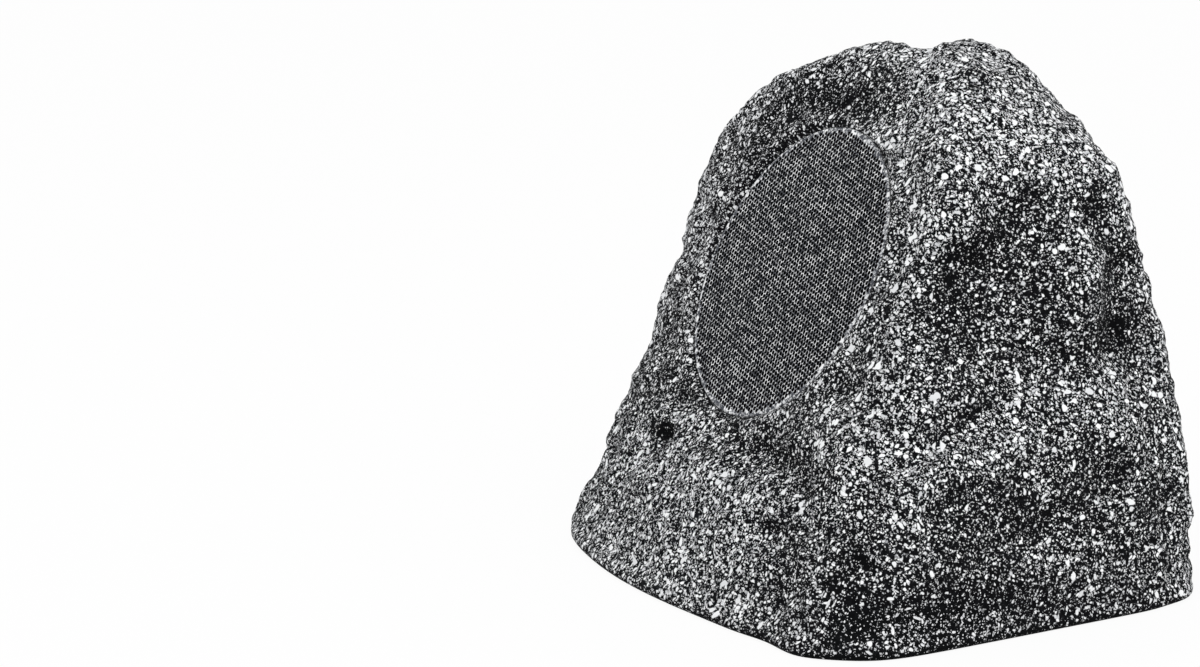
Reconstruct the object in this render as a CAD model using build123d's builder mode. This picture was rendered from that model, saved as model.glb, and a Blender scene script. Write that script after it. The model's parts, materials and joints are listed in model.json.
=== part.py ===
from build123d import *
import math
import os

# A garden loudspeaker moulded as a boulder. Millimetres, +Z up, the grille looks towards -Y.
# The origin is on the ground, under the middle of the rock's foot.
# A bearing is an angle in plan from the front (-Y) towards the right (+X).

# Rock form: overall
ROCK_HEIGHT = 286.0
SUMMIT_SHIFT_X = -12.0
SUMMIT_SHIFT_Y = 36.0
RIDGE_SOFTNESS = 7.0
LEDGE_SOFTNESS = 4.0
SUMMIT_ROUND = 12.0
SUMMIT_CLOSURE = 0.75
FOOT_ROUND_HEIGHT = 4.0
FOOT_ROUND_WIDTH = 3.0

# Rock form: chips broken from the skin, each a small plane of its own
CHIP_COUNT = 150
CHIP_STEP = 2.4
CHIP_TILT = 7.0
CHIP_BLEND = 24.0
CHIP_SCATTER = 12.0
CALM_WIDTH = 24.0

# Rock form: faces of the boulder
FACE_BEARING = -4.0
FACE_REACH = 136.5
FACE_LEAN = 27.0
LEFT_REACH = 159.0
RIGHT_REACH = 151.0
BACK_REACH = 124.0
FOOT_FRONT_REACH = 159.0
LEDGE_HEIGHT = 77.0
LEDGE_REACH = 111.0
SHOULDER_DROP = 45.0
BROW_DROP = 24.0
SUMMIT_DROP = 18.0

# Moulded shell
WALL = 5.0
RIM_WALL = 6.0
FLANGE_WIDTH = 14.0
FLANGE_THICKNESS = 6.0

# Foot: base plate, its seal and screws
PLATE_RECESS = 3.0
PLATE_THICKNESS = 4.0
PLATE_CLEARANCE = 0.5
BASE_SEAL = 1.5
BASE_SCREW_COUNT = 6
SCREW_SHANK = 3.4
SCREW_PILOT = 3.5
SCREW_CLEARANCE_HOLE = 4.0
SCREW_HEAD = 7.0
SCREW_HEAD_HEIGHT = 2.0
SCREW_GRIP = 5.0

# Cable entry, low on the back
CABLE_HEIGHT = 34.0
CABLE_BORE = 7.2
GROMMET_BODY = 12.0
GROMMET_FLANGE = 20.0
GROMMET_FLANGE_THICKNESS = 2.5
GROMMET_LIP = 15.0
GROMMET_LIP_THICKNESS = 2.5
GROMMET_CLEARANCE = 0.1
ENTRY_BOSS = 26.0
ENTRY_BOSS_LENGTH = 12.0
ENTRY_SPOT_DEPTH = 2.4

# Grille, let into the front face
GRILLE_X = -25.0
GRILLE_HEIGHT = 165.0
GRILLE_RECESS = 3.3
FACE_FLARE = 30.0
GRILLE_LEDGE = 2.6
GRILLE_SHEET = 1.0
GRILLE_SKIRT = 5.0
GRILLE_CLEARANCE = 0.5
GRILLE_EDGE_ROUND = 0.9
GRILLE_HOLE = 5.2
GRILLE_HOLE_PITCH = 13.4
GRILLE_PLAIN_RIM = 7.0
SCRIM_THICKNESS = 0.6

# Driver pocket behind the grille
DRIVER_DIAMETER = 164.0
DRIVER_CLEARANCE = 0.75
DRIVER_SETBACK = 17.0
POCKET_WALL = 4.5
POCKET_FLOOR = 8.0
CUTOUT_DIAMETER = 143.0
DRIVER_SEAL = 1.5
DRIVER_SCREW_COUNT = 6

# Woofer basket and motor
BASKET_FLANGE = 2.5
BASKET_SHEET = 1.6
BASKET_MOUTH = 128.0
BASKET_DEPTH = 36.0
SPIDER_SEAT_DEPTH = 29.8
SPIDER_SEAT_OUTER = 91.0
SPIDER_SEAT_INNER = 75.0
SPOKE_COUNT = 6
SPOKE_WIDTH = 15.0
WINDOW_EDGE = 3.0
TOP_PLATE_DIAMETER = 80.0
TOP_PLATE_THICKNESS = 6.0
MAGNET_DIAMETER = 90.0
MAGNET_BORE = 44.0
MAGNET_THICKNESS = 15.0
YOKE_DIAMETER = 80.0
YOKE_THICKNESS = 6.0
POLE_DIAMETER = 30.4
POLE_PROUD = 1.0
POLE_VENT = 8.0

# Moving system
COIL_GAP = 0.7
FORMER_WALL = 0.5
COIL_WALL = 0.9
COIL_HEIGHT = 12.0
CONE_SHEET = 1.2
ROLL_WIDTH = 8.0
CONE_LIP_WIDTH = 4.0
CONE_DEPTH = 25.0
CONE_NECK = 2.0
FORMER_PROUD = 0.5
DUST_CAP_DIAMETER = 48.0
DUST_CAP_RISE = 8.0
DUST_CAP_SHEET = 0.8
SURROUND_SHEET = 1.0
SURROUND_LIP = 5.0
SPIDER_SHEET = 0.6
SPIDER_WAVE = 2.0
SPIDER_WAVES = 3
SPIDER_COLLAR = 2.5

# Tweeter on its bridge
BRIDGE_WIDTH = 14.0
BRIDGE_THICKNESS = 3.0
BRIDGE_STANDOFF = 9.5
BRIDGE_FOOT = 9.0
BRIDGE_RING = 38.0
BRIDGE_RING_GAP = 0.8
TWEETER_DOME = 25.0
TWEETER_DOME_RISE = 4.0
TWEETER_DOME_SHEET = 0.6
TWEETER_CUP = 34.0
TWEETER_CUP_DEPTH = 15.0
TWEETER_CUP_WALL = 2.0
TWEETER_MAGNET = 24.0
TWEETER_MAGNET_HEIGHT = 8.0

# Terminal strip on the back of the basket
STRIP_LENGTH = 20.0
STRIP_WIDTH = 5.6
STRIP_THICKNESS = 2.0
TAB_SPACING = 11.0
TAB_WIDTH = 4.0
TAB_THICKNESS = 0.8
TAB_LENGTH = 7.0

# Crossover on the base plate
BOARD_X = 16.0
BOARD_Y = 26.0
BOARD_LENGTH = 74.0
BOARD_WIDTH = 52.0
BOARD_THICKNESS = 1.6
BOARD_EDGE = 5.0
BOARD_STANDOFF = 8.0
STANDOFF_DIAMETER = 8.0
BOARD_SCREW_SHANK = 2.6
BOARD_SCREW_PILOT = 2.7
BOARD_SCREW_CLEARANCE_HOLE = 3.2
BOARD_SCREW_HEAD = 5.4
BOARD_SCREW_GRIP = 6.0
CAPACITOR_DIAMETER = 16.0
CAPACITOR_HEIGHT = 24.0
CAPACITOR_BEVEL = 1.0
BOBBIN_DIAMETER = 30.0
BOBBIN_CORE = 12.0
BOBBIN_HEIGHT = 16.0
BOBBIN_FLANGE = 1.6
RESISTOR_LENGTH = 22.0
RESISTOR_WIDTH = 9.0
TERMINAL_BLOCK_LENGTH = 20.0
TERMINAL_BLOCK_WIDTH = 10.0
TERMINAL_BLOCK_HEIGHT = 11.0
TERMINAL_HOLE = 4.0
CAPACITOR_SPOT = (-20.0, 4.0)
BOBBIN_SPOT = (12.0, 7.0)
RESISTOR_SPOT = (-14.0, -14.0)
TERMINAL_SPOT = (14.0, -17.0)

# Corners of a section round the rock, and the spacing of its sections in height
SECTION_POINTS = 84
SECTION_SPACING = 8.5
SUMMIT_LEVELS = (0.3, 0.55, 0.8, 1.0)

# Each facet: bearing, reach from the origin, height of that reach, lean back from upright
CROWN = (
    (FACE_BEARING, FACE_REACH, 0.0, FACE_LEAN),
    (-31.0, 174.0, 0.0, 20.0),
    (-90.0, LEFT_REACH, 0.0, -3.0),
    (-140.0, 172.0, 0.0, 5.0),
    (180.0, BACK_REACH, 0.0, 5.0),
    (149.0, 167.0, 0.0, 3.0),
    (149.0, 146.0, 165.0, 20.0),
    (92.0, RIGHT_REACH, 0.0, 11.0),
    (92.0, 116.0, 190.0, 24.0),
    (50.0, 186.0, 0.0, 24.0),
    (-90.0, LEFT_REACH + 13.0, ROCK_HEIGHT - SHOULDER_DROP, 70.0),
    (-60.0, 124.0, ROCK_HEIGHT - SHOULDER_DROP, 50.0),
    (-34.0, 100.0, ROCK_HEIGHT - SHOULDER_DROP, 46.0),
    (-34.0, 77.0, ROCK_HEIGHT - BROW_DROP, 57.0),
    (88.0, 58.0, ROCK_HEIGHT - BROW_DROP, 52.0),
    (50.0, 57.0, ROCK_HEIGHT - BROW_DROP, 56.0),
    (0.0, -1.0, ROCK_HEIGHT - BROW_DROP, 46.0),
    (180.0, 78.0, ROCK_HEIGHT - BROW_DROP, 58.0),
    (149.0, 84.0, ROCK_HEIGHT - BROW_DROP, 54.0),
)
PLINTH = (
    (-12.0, FOOT_FRONT_REACH, 0.0, 31.0),
    (4.0, FOOT_FRONT_REACH - 7.0, 0.0, 28.0),
    (15.0, FOOT_FRONT_REACH, 0.0, 26.0),
    (-31.0, 184.0, 0.0, 31.0),
    (-90.0, LEFT_REACH, 0.0, 0.0),
    (48.0, 178.0, 0.0, 6.0),
    (91.0, RIGHT_REACH, 0.0, 1.0),
    (180.0, BACK_REACH - 16.0, 0.0, 8.0),
    (150.0, 148.0, 0.0, 5.0),
    (-140.0, 158.0, 0.0, 6.0),
    (0.0, LEDGE_REACH, LEDGE_HEIGHT, 68.0),
    (-31.0, 140.0, LEDGE_HEIGHT, 60.0),
    (45.0, 160.0, LEDGE_HEIGHT + 10.0, 58.0),
    (90.0, RIGHT_REACH, LEDGE_HEIGHT + 8.0, 34.0),
    (-130.0, 150.0, LEDGE_HEIGHT, 55.0),
)
SUMMIT = (
    (-113.0, 72.0, ROCK_HEIGHT - SUMMIT_DROP, 42.0),
    (90.0, 34.0, ROCK_HEIGHT - SUMMIT_DROP, 46.0),
    (0.0, -12.0, ROCK_HEIGHT - SUMMIT_DROP, 40.0),
    (180.0, 96.0, ROCK_HEIGHT - SUMMIT_DROP, 42.0),
    (146.0, 80.0, ROCK_HEIGHT - SUMMIT_DROP, 47.0),
    (45.0, 22.0, ROCK_HEIGHT - SUMMIT_DROP, 45.0),
    (-90.0, 92.0, 0.0, 0.0),
    (90.0, 50.0, 0.0, 0.0),
    (0.0, -4.0, 0.0, 0.0),
    (180.0, 100.0, 0.0, 0.0),
)
# Each hollow: bearing, height, half width round the rock, half height above and below it, depth
# A boss has a depth below zero
HOLLOWS = (
    (76.0, 172.0, 34.0, 46.0, 46.0, 17.0),
    (117.0, 150.0, 24.0, 34.0, 34.0, 3.0),
    (-34.0, 62.0, 15.0, 11.0, 11.0, 6.0),
    (101.0, 174.0, 15.0, 28.0, 28.0, -16.0),
    (-88.0, 196.0, 30.0, 26.0, 26.0, -6.0),
    (-86.0, 120.0, 40.0, 22.0, 22.0, 5.0),
    (86.0, 210.0, 22.0, 13.0, 20.0, 6.0),
    (66.0, 182.0, 20.0, 15.0, 32.0, 7.0),
    (72.0, 206.0, 16.0, 9.0, 9.0, -3.0),
    (90.0, 136.0, 22.0, 14.0, 18.0, 4.0),
    (110.0, 208.0, 11.0, 11.0, 12.0, 4.0),
    (117.0, 178.0, 11.0, 11.0, 12.0, 4.0),
    (116.0, 138.0, 20.0, 14.0, 20.0, 8.0),
    (66.0, 78.0, 22.0, 10.0, 16.0, 4.0),
    (87.0, 56.0, 24.0, 10.0, 16.0, 4.0),
    (105.0, 76.0, 15.0, 10.0, 14.0, 4.0),
    (46.0, 95.0, 18.0, 9.0, 10.0, -4.0),
    (36.0, 18.0, 19.0, 44.0, 40.0, 7.0),
    (138.0, 118.0, 26.0, 30.0, 30.0, -5.0),
    (14.0, 79.0, 46.0, 6.0, 8.0, 6.0),
    (36.0, 260.0, 14.0, 9.0, 12.0, 4.0),
    (-20.0, 250.0, 40.0, 8.0, 11.0, 3.0),
    (-12.0, 229.0, 26.0, 8.0, 10.0, -3.0),
    (-70.0, 150.0, 20.0, 12.0, 22.0, 4.0),
    (-104.0, 176.0, 24.0, 10.0, 26.0, 5.0),
    (-120.0, 96.0, 30.0, 12.0, 24.0, 5.0),
    (-150.0, 200.0, 26.0, 12.0, 30.0, 5.0),
    (170.0, 150.0, 34.0, 12.0, 36.0, 6.0),
    (150.0, 220.0, 20.0, 10.0, 22.0, 5.0),
    (-165.0, 90.0, 24.0, 10.0, 20.0, 4.0),
    (140.0, 90.0, 22.0, 10.0, 22.0, 5.0),
)

# The grille's plane, parallel to the rock's front face and let into it
lean = math.radians(FACE_LEAN)
yaw = math.radians(FACE_BEARING)
face_normal = Vector(math.sin(yaw) * math.cos(lean), -math.cos(yaw) * math.cos(lean), math.sin(lean))
face_offset = FACE_REACH * math.cos(lean) - GRILLE_RECESS
grille_y = (face_offset - face_normal.X * GRILLE_X - face_normal.Z * GRILLE_HEIGHT) / face_normal.Y
grille_plane = Plane(
    origin=(GRILLE_X, grille_y, GRILLE_HEIGHT), x_dir=(math.cos(yaw), math.sin(yaw), 0), z_dir=face_normal
)
pocket_radius = DRIVER_DIAMETER / 2 + DRIVER_CLEARANCE
recess_radius = pocket_radius + GRILLE_LEDGE

# Levels of the foot, from the ground up
plate_top = PLATE_RECESS + PLATE_THICKNESS
flange_bottom = plate_top + BASE_SEAL
flange_top = flange_bottom + FLANGE_THICKNESS


def soft_least(values, softness):
    """The least of some lengths, with the change from one to the next rounded."""
    least = min(values)
    return least - softness * math.log(sum(math.exp((least - value) / softness) for value in values))


def rock_axis(height):
    """The middle of the rock in plan at a height."""
    share = height / ROCK_HEIGHT
    return SUMMIT_SHIFT_X * share, SUMMIT_SHIFT_Y * share


def facet_reach(bearing, height, facets):
    """How far a lobe of facets reaches from the rock's axis along a bearing in radians."""
    centre_x, centre_y = rock_axis(height)
    reaches = []
    for facet_bearing, reach, level, lean in facets:
        turn = math.radians(facet_bearing)
        slant = math.cos(bearing - turn)
        if slant > 0.05:
            inset = centre_x * math.sin(turn) - centre_y * math.cos(turn)
            distance = reach - (height - level) * math.tan(math.radians(lean)) - inset
            reaches.append(distance / slant)
    return soft_least(reaches, RIDGE_SOFTNESS)


def uneven(index, salt):
    """A value between -1 and 1 that follows no order from one index to the next."""
    return math.sin(salt * (index + 1) ** 2)


# Each chip: bearing in radians, height, step out of the skin, slope round the rock and up it
chip_slope = math.tan(math.radians(CHIP_TILT))
golden_turn = math.pi * (3 - math.sqrt(5))
chips = [
    (
        index * golden_turn,
        ROCK_HEIGHT * (index + 0.5) / CHIP_COUNT + CHIP_SCATTER * uneven(index, 1.7),
        CHIP_STEP * uneven(index, 2.9),
        chip_slope * uneven(index, 4.3),
        chip_slope * uneven(index, 5.9),
    )
    for index in range(CHIP_COUNT)
]


def chip_relief(bearing, height, reach):
    """How far the skin stands out at a spot: the small planes of the chips round it, blended."""
    total = 0.0
    relief = 0.0
    for chip_bearing, level, step, slope_across, slope_along in chips:
        across = math.remainder(bearing - chip_bearing, math.tau) * reach
        along = height - level
        weight = math.exp(-(across**2 + along**2) / CHIP_BLEND**2)
        total += weight
        relief += weight * (step + slope_across * across + slope_along * along)
    return relief / total


def eased(value):
    """A share that eases from 0 to 1."""
    share = min(1.0, max(0.0, value))
    return share * share * (3 - 2 * share)


def skin_freedom(bearing, height, reach):
    """How freely the skin is chipped at a spot: not at all by the foot, the grille and the cable entry."""
    centre_x, centre_y = rock_axis(height)
    spot = Vector(centre_x + reach * math.sin(bearing), centre_y - reach * math.cos(bearing), height)
    grille_margin = (spot - grille_plane.origin).length - recess_radius - POCKET_WALL
    entry_across = math.remainder(bearing - math.pi, math.tau) * reach
    entry_margin = math.hypot(entry_across, height - CABLE_HEIGHT) - ENTRY_BOSS
    margins = (grille_margin, entry_margin, height - flange_top)
    return math.prod(eased(margin / CALM_WIDTH) for margin in margins)


def rock_reach(bearing, height):
    """The rock's outer radius from its axis along a bearing in radians, at a height."""
    lobes = [facet_reach(bearing, height, facets) for facets in (CROWN, PLINTH, SUMMIT)]
    reach = -soft_least([-lobe for lobe in lobes], LEDGE_SOFTNESS)
    for hollow_bearing, level, half_width, above, below, depth in HOLLOWS:
        turn = math.remainder(bearing - math.radians(hollow_bearing), math.tau)
        across = turn * reach / half_width
        along = (height - level) / (above if height > level else below)
        reach -= depth * math.exp(-across**2 - along**2)
    reach += skin_freedom(bearing, height, reach) * chip_relief(bearing, height, reach)
    crest = max(0.0, 1 - (ROCK_HEIGHT - height) / SUMMIT_ROUND) * SUMMIT_CLOSURE
    return reach * math.sqrt(1 - crest**2)


def rock_outline(height, inset=0.0, headroom=0.0):
    """Corners round the rock at a height, set in from its skin there and at the headroom above."""
    centre_x, centre_y = rock_axis(height)
    step = math.tau / SECTION_POINTS
    bearings = [index * step for index in range(SECTION_POINTS)]
    reaches = [min(rock_reach(turn, height), rock_reach(turn, height + headroom)) for turn in bearings]
    points = []
    for index, reach in enumerate(reaches):
        swing = (reaches[(index + 1) % SECTION_POINTS] - reaches[index - 1]) / (2 * step)
        inner = reach - inset * math.hypot(1, swing / reach)
        bearing = bearings[index]
        points.append(Vector(centre_x + inner * math.sin(bearing), centre_y - inner * math.cos(bearing)))
    return points


def rock_section(level, inset=0.0, height=None, headroom=0.0):
    """A flat section at a level, with the rock's outline of that height or of another."""
    with BuildSketch(Plane.XY.offset(level)) as section:
        with BuildLine():
            Polyline(*rock_outline(level if height is None else height, inset, headroom), close=True)
        make_face()
    return section.sketch


def spaced_levels(bottom, top):
    """Levels from bottom to top, evenly spaced."""
    count = math.ceil((top - bottom) / SECTION_SPACING)
    return [bottom + (top - bottom) * index / count for index in range(count + 1)]


def nearest_bearing(outline, bearing):
    """The point of an outline that lies nearest to a bearing in degrees."""
    way = Vector(math.sin(math.radians(bearing)), -math.cos(math.radians(bearing)))
    return max(outline, key=lambda point: point.normalized().dot(way))


screw_ring = rock_outline(flange_bottom, RIM_WALL + FLANGE_WIDTH / 2)
base_screw_spots = [
    nearest_bearing(screw_ring, 360 * (index + 0.5) / BASE_SCREW_COUNT) for index in range(BASE_SCREW_COUNT)
]

# Turned profiles are drawn on this plane: local X is the radius, local Y runs out of the face
turning_plane = Plane(origin=grille_plane.origin, x_dir=grille_plane.x_dir, z_dir=grille_plane.y_dir * -1)
driver_axis = Axis(grille_plane.origin, grille_plane.z_dir)

# Radii and levels along the driver's axis, measured from the grille's front
driver_radius = DRIVER_DIAMETER / 2
grille_radius = recess_radius - GRILLE_CLEARANCE
cutout_radius = CUTOUT_DIAMETER / 2
seat_level = -GRILLE_SKIRT - DRIVER_SETBACK
pocket_back = seat_level - POCKET_FLOOR
flange_back = seat_level + DRIVER_SEAL
flange_front = flange_back + BASKET_FLANGE
basket_back = flange_back - BASKET_DEPTH
spider_seat = flange_back - SPIDER_SEAT_DEPTH
driver_screw_radius = (pocket_radius + cutout_radius) / 2
top_plate_back = basket_back - TOP_PLATE_THICKNESS
magnet_back = top_plate_back - MAGNET_THICKNESS
yoke_back = magnet_back - YOKE_THICKNESS

# Radii of the voice coil, from the pole outwards
pole_radius = POLE_DIAMETER / 2
former_inner = pole_radius + COIL_GAP
former_outer = former_inner + FORMER_WALL
coil_outer = former_outer + COIL_WALL
gap_radius = coil_outer + COIL_GAP
coil_back = basket_back - (TOP_PLATE_THICKNESS + COIL_HEIGHT) / 2

# Cone: its lip is level with the basket's front, and its neck meets the coil former
mouth_radius = BASKET_MOUTH / 2
lip_outer = mouth_radius - ROLL_WIDTH
lip_inner = lip_outer - CONE_LIP_WIDTH
neck_front = flange_front - CONE_DEPTH
cone_slope = CONE_DEPTH / (lip_inner - former_outer)

# Bridge and tweeter, in front of the cone
bridge_back = flange_front + BRIDGE_STANDOFF
bridge_front = bridge_back + BRIDGE_THICKNESS
tweeter_front = bridge_back - TWEETER_DOME_SHEET
tweeter_back = tweeter_front - TWEETER_CUP_DEPTH

# Terminal strip, on the flat ring behind the spider's seat
seat_outer = SPIDER_SEAT_OUTER / 2
seat_inner = SPIDER_SEAT_INNER / 2
strip_front = spider_seat - BASKET_SHEET
strip_back = strip_front - STRIP_THICKNESS
strip_radius = (seat_outer + seat_inner) / 2 + BASKET_SHEET

# Cable entry: a flat spot on the back wall with a boss behind it
entry_x, entry_axis_y = rock_axis(CABLE_HEIGHT)
entry_face_y = entry_axis_y + rock_reach(math.pi, CABLE_HEIGHT) - ENTRY_SPOT_DEPTH
entry_plane = Plane(origin=(entry_x, entry_face_y, CABLE_HEIGHT), x_dir=(-1, 0, 0), z_dir=(0, 1, 0))
entry_turning_plane = Plane(origin=entry_plane.origin, x_dir=(1, 0, 0), z_dir=(0, 0, 1))
entry_axis = Axis(entry_plane.origin, (0, 1, 0))

# Crossover levels and standoff spots
board_bottom = plate_top + BOARD_STANDOFF
board_top = board_bottom + BOARD_THICKNESS
board_centre = (BOARD_X, BOARD_Y)
standoff_span_x = BOARD_LENGTH - 2 * BOARD_EDGE
standoff_span_y = BOARD_WIDTH - 2 * BOARD_EDGE


def turned(points, plane=turning_plane, axis=driver_axis):
    """Revolve a closed profile of straight runs about an axis."""
    with BuildSketch(plane) as profile:
        with BuildLine():
            Polyline(*points, close=True)
        make_face()
    revolve(profile.sketch, axis=axis)


def turned_ring(inner, outer, back, front):
    """A plain turned ring between two radii and two levels of the driver's axis."""
    turned([(inner, back), (outer, back), (outer, front), (inner, front)])


def pan_screws(seat, spots, shank, head, length, way=1):
    """Pan head screws: heads stand on the seat plane, shanks run back from it."""
    with BuildSketch(seat) as heads:
        with Locations(*spots):
            Circle(head / 2)
    extrude(heads.sketch, amount=way * SCREW_HEAD_HEIGHT)
    with BuildSketch(seat) as shanks:
        with Locations(*spots):
            Circle(shank / 2)
    extrude(shanks.sketch, amount=-way * length)


def polar_spots(radius, degrees):
    """Spots on a circle, at the given angles."""
    turns = [math.radians(turn) for turn in degrees]
    return [(radius * math.cos(turn), radius * math.sin(turn)) for turn in turns]


screw_turns = [360 * index / DRIVER_SCREW_COUNT for index in range(DRIVER_SCREW_COUNT)]
driver_screw_spots = polar_spots(driver_screw_radius, screw_turns)
bridge_screw_spots = polar_spots(driver_screw_radius, (0, 180))
flange_screw_spots = [spot for spot in driver_screw_spots if abs(spot[1]) > BRIDGE_WIDTH]
driver_screw_length = flange_front - seat_level + SCREW_GRIP

os.makedirs("parts", exist_ok=True)

# What the moulding has inside its wall: a tub for the driver behind the face, and a boss at the cable entry
with BuildPart() as shell_bosses:
    with BuildSketch(grille_plane.offset(pocket_back)):
        Circle(recess_radius + POCKET_WALL)
    extrude(amount=-pocket_back - GRILLE_SHEET)
    with BuildSketch(entry_plane):
        Circle(ENTRY_BOSS / 2)
    extrude(amount=-ENTRY_BOSS_LENGTH)

# What is open in the moulding
with BuildPart() as shell_openings:
    # Foot: a pocket for the plate, then the way in through the flange, and pilot holes in it
    extrude(rock_section(0, RIM_WALL, flange_bottom), amount=flange_bottom)
    extrude(rock_section(flange_bottom, RIM_WALL + FLANGE_WIDTH), amount=FLANGE_THICKNESS)
    with BuildSketch(Plane.XY.offset(flange_bottom)):
        with Locations(*base_screw_spots):
            Circle(SCREW_PILOT / 2)
    extrude(amount=FLANGE_THICKNESS)
    # Driver pocket: a stepped bore, flared out through the face, and pilot holes in its floor
    turned(
        [
            (0, pocket_back - POCKET_FLOOR),
            (cutout_radius, pocket_back - POCKET_FLOOR),
            (cutout_radius, seat_level),
            (pocket_radius, seat_level),
            (pocket_radius, -GRILLE_SKIRT),
            (recess_radius, -GRILLE_SKIRT),
            (recess_radius, 0),
            (recess_radius + FACE_FLARE, FACE_FLARE),
            (0, FACE_FLARE),
        ]
    )
    with BuildSketch(grille_plane.offset(seat_level)):
        with Locations(*driver_screw_spots):
            Circle(SCREW_PILOT / 2)
    extrude(amount=-POCKET_FLOOR)
    # Cable entry: a flat spot outside, and a hole through it
    with BuildSketch(entry_plane):
        Circle(ENTRY_BOSS / 2)
    extrude(amount=ENTRY_BOSS)
    with BuildSketch(entry_plane):
        Circle(GROMMET_BODY / 2 + GROMMET_CLEARANCE)
    extrude(amount=-ENTRY_BOSS_LENGTH)

# Rock shell: a hollow moulding with a flange inside its foot and a pocket for the driver
with BuildPart() as rock_shell:
    summit_bottom = ROCK_HEIGHT - SUMMIT_ROUND
    rock_levels = spaced_levels(FOOT_ROUND_HEIGHT, summit_bottom)
    rock_levels += [summit_bottom + share * SUMMIT_ROUND for share in SUMMIT_LEVELS]
    foot_edge = rock_section(0, FOOT_ROUND_WIDTH, FOOT_ROUND_HEIGHT)
    loft([foot_edge] + [rock_section(level) for level in rock_levels], ruled=True, clean=False)
    # Cavity, a wall's thickness inside the skin and under the summit
    cavity_levels = spaced_levels(flange_top, summit_bottom - WALL)
    cavity_sections = [rock_section(level, WALL, headroom=WALL) for level in cavity_levels]
    loft(cavity_sections, ruled=True, clean=False, mode=Mode.SUBTRACT)
    add(shell_bosses.part, clean=False)
    add(shell_openings.part, clean=False, mode=Mode.SUBTRACT)
rock_shell.part.label = "rock_shell"
export_step(rock_shell.part, "parts/rock_shell.step")

# Base plate, with standoffs for the crossover board
with BuildPart() as base_plate:
    extrude(rock_section(PLATE_RECESS, RIM_WALL + PLATE_CLEARANCE, flange_bottom), amount=PLATE_THICKNESS)
    with BuildSketch(Plane.XY.offset(PLATE_RECESS)):
        with Locations(*base_screw_spots):
            Circle(SCREW_CLEARANCE_HOLE / 2)
    extrude(amount=PLATE_THICKNESS, mode=Mode.SUBTRACT)
    with BuildSketch(Plane.XY.offset(plate_top)):
        with Locations(board_centre):
            with GridLocations(standoff_span_x, standoff_span_y, 2, 2):
                Circle(STANDOFF_DIAMETER / 2)
                Circle(BOARD_SCREW_PILOT / 2, mode=Mode.SUBTRACT)
    extrude(amount=BOARD_STANDOFF)
base_plate.part.label = "base_plate"
export_step(base_plate.part, "parts/base_plate.step")

# Foam seal between the base plate and the shell's flange
with BuildPart() as base_seal:
    extrude(rock_section(plate_top, RIM_WALL + PLATE_CLEARANCE, flange_bottom), amount=BASE_SEAL)
    seal_opening = rock_section(plate_top, RIM_WALL + FLANGE_WIDTH, flange_bottom)
    extrude(seal_opening, amount=BASE_SEAL, mode=Mode.SUBTRACT)
    with BuildSketch(Plane.XY.offset(plate_top)):
        with Locations(*base_screw_spots):
            Circle(SCREW_CLEARANCE_HOLE / 2)
    extrude(amount=BASE_SEAL, mode=Mode.SUBTRACT)
base_seal.part.label = "base_seal"
export_step(base_seal.part, "parts/base_seal.step")

# Screws that hold the base plate, driven up from below
with BuildPart() as base_screws:
    base_screw_length = PLATE_THICKNESS + BASE_SEAL + SCREW_GRIP
    plate_face = Plane.XY.offset(PLATE_RECESS)
    pan_screws(plate_face, base_screw_spots, SCREW_SHANK, SCREW_HEAD, base_screw_length, way=-1)
base_screws.part.label = "base_screws"
export_step(base_screws.part, "parts/base_screws.step")

# Rubber grommet, pushed through the cable entry
with BuildPart() as cable_grommet:
    body_radius = GROMMET_BODY / 2
    lip_back = -ENTRY_BOSS_LENGTH - GROMMET_LIP_THICKNESS
    turned(
        [
            (CABLE_BORE / 2, lip_back),
            (body_radius, lip_back),
            (GROMMET_LIP / 2, -ENTRY_BOSS_LENGTH),
            (body_radius, -ENTRY_BOSS_LENGTH),
            (body_radius, 0),
            (GROMMET_FLANGE / 2, 0),
            (body_radius, GROMMET_FLANGE_THICKNESS),
            (CABLE_BORE / 2, GROMMET_FLANGE_THICKNESS),
        ],
        plane=entry_turning_plane,
        axis=entry_axis,
    )
cable_grommet.part.label = "cable_grommet"
export_step(cable_grommet.part, "parts/cable_grommet.step")

# Grille: a perforated steel disc with its rim folded back
with BuildPart() as grille:
    with BuildSketch(grille_plane):
        Circle(grille_radius)
    extrude(amount=-GRILLE_SKIRT)
    fillet(grille.edges().sort_by(driver_axis)[-1], GRILLE_EDGE_ROUND)
    with BuildSketch(grille_plane.offset(-GRILLE_SHEET)):
        Circle(grille_radius - GRILLE_SHEET)
    extrude(amount=GRILLE_SHEET - GRILLE_SKIRT, mode=Mode.SUBTRACT)
    # Holes in staggered rows, as far out as the plain rim
    row_pitch = GRILLE_HOLE_PITCH * math.sqrt(3) / 2
    field_radius = grille_radius - GRILLE_PLAIN_RIM
    rows = int(field_radius / row_pitch)
    columns = int(field_radius / GRILLE_HOLE_PITCH) + 1
    hole_spots = [
        ((column + row % 2 / 2) * GRILLE_HOLE_PITCH, row * row_pitch)
        for row in range(-rows, rows + 1)
        for column in range(-columns, columns + 1)
    ]
    with BuildSketch(grille_plane):
        with Locations(*[spot for spot in hole_spots if math.hypot(*spot) <= field_radius]):
            RegularPolygon(GRILLE_HOLE / 2, 6)
    extrude(amount=-GRILLE_SHEET, mode=Mode.SUBTRACT)
grille.part.label = "grille"
export_step(grille.part, "parts/grille.step")

# Cloth scrim, stuck to the back of the grille
with BuildPart() as grille_scrim:
    with BuildSketch(grille_plane.offset(-GRILLE_SHEET)):
        Circle(grille_radius - 2 * GRILLE_SHEET)
    extrude(amount=-SCRIM_THICKNESS)
grille_scrim.part.label = "grille_scrim"
export_step(grille_scrim.part, "parts/grille_scrim.step")

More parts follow.
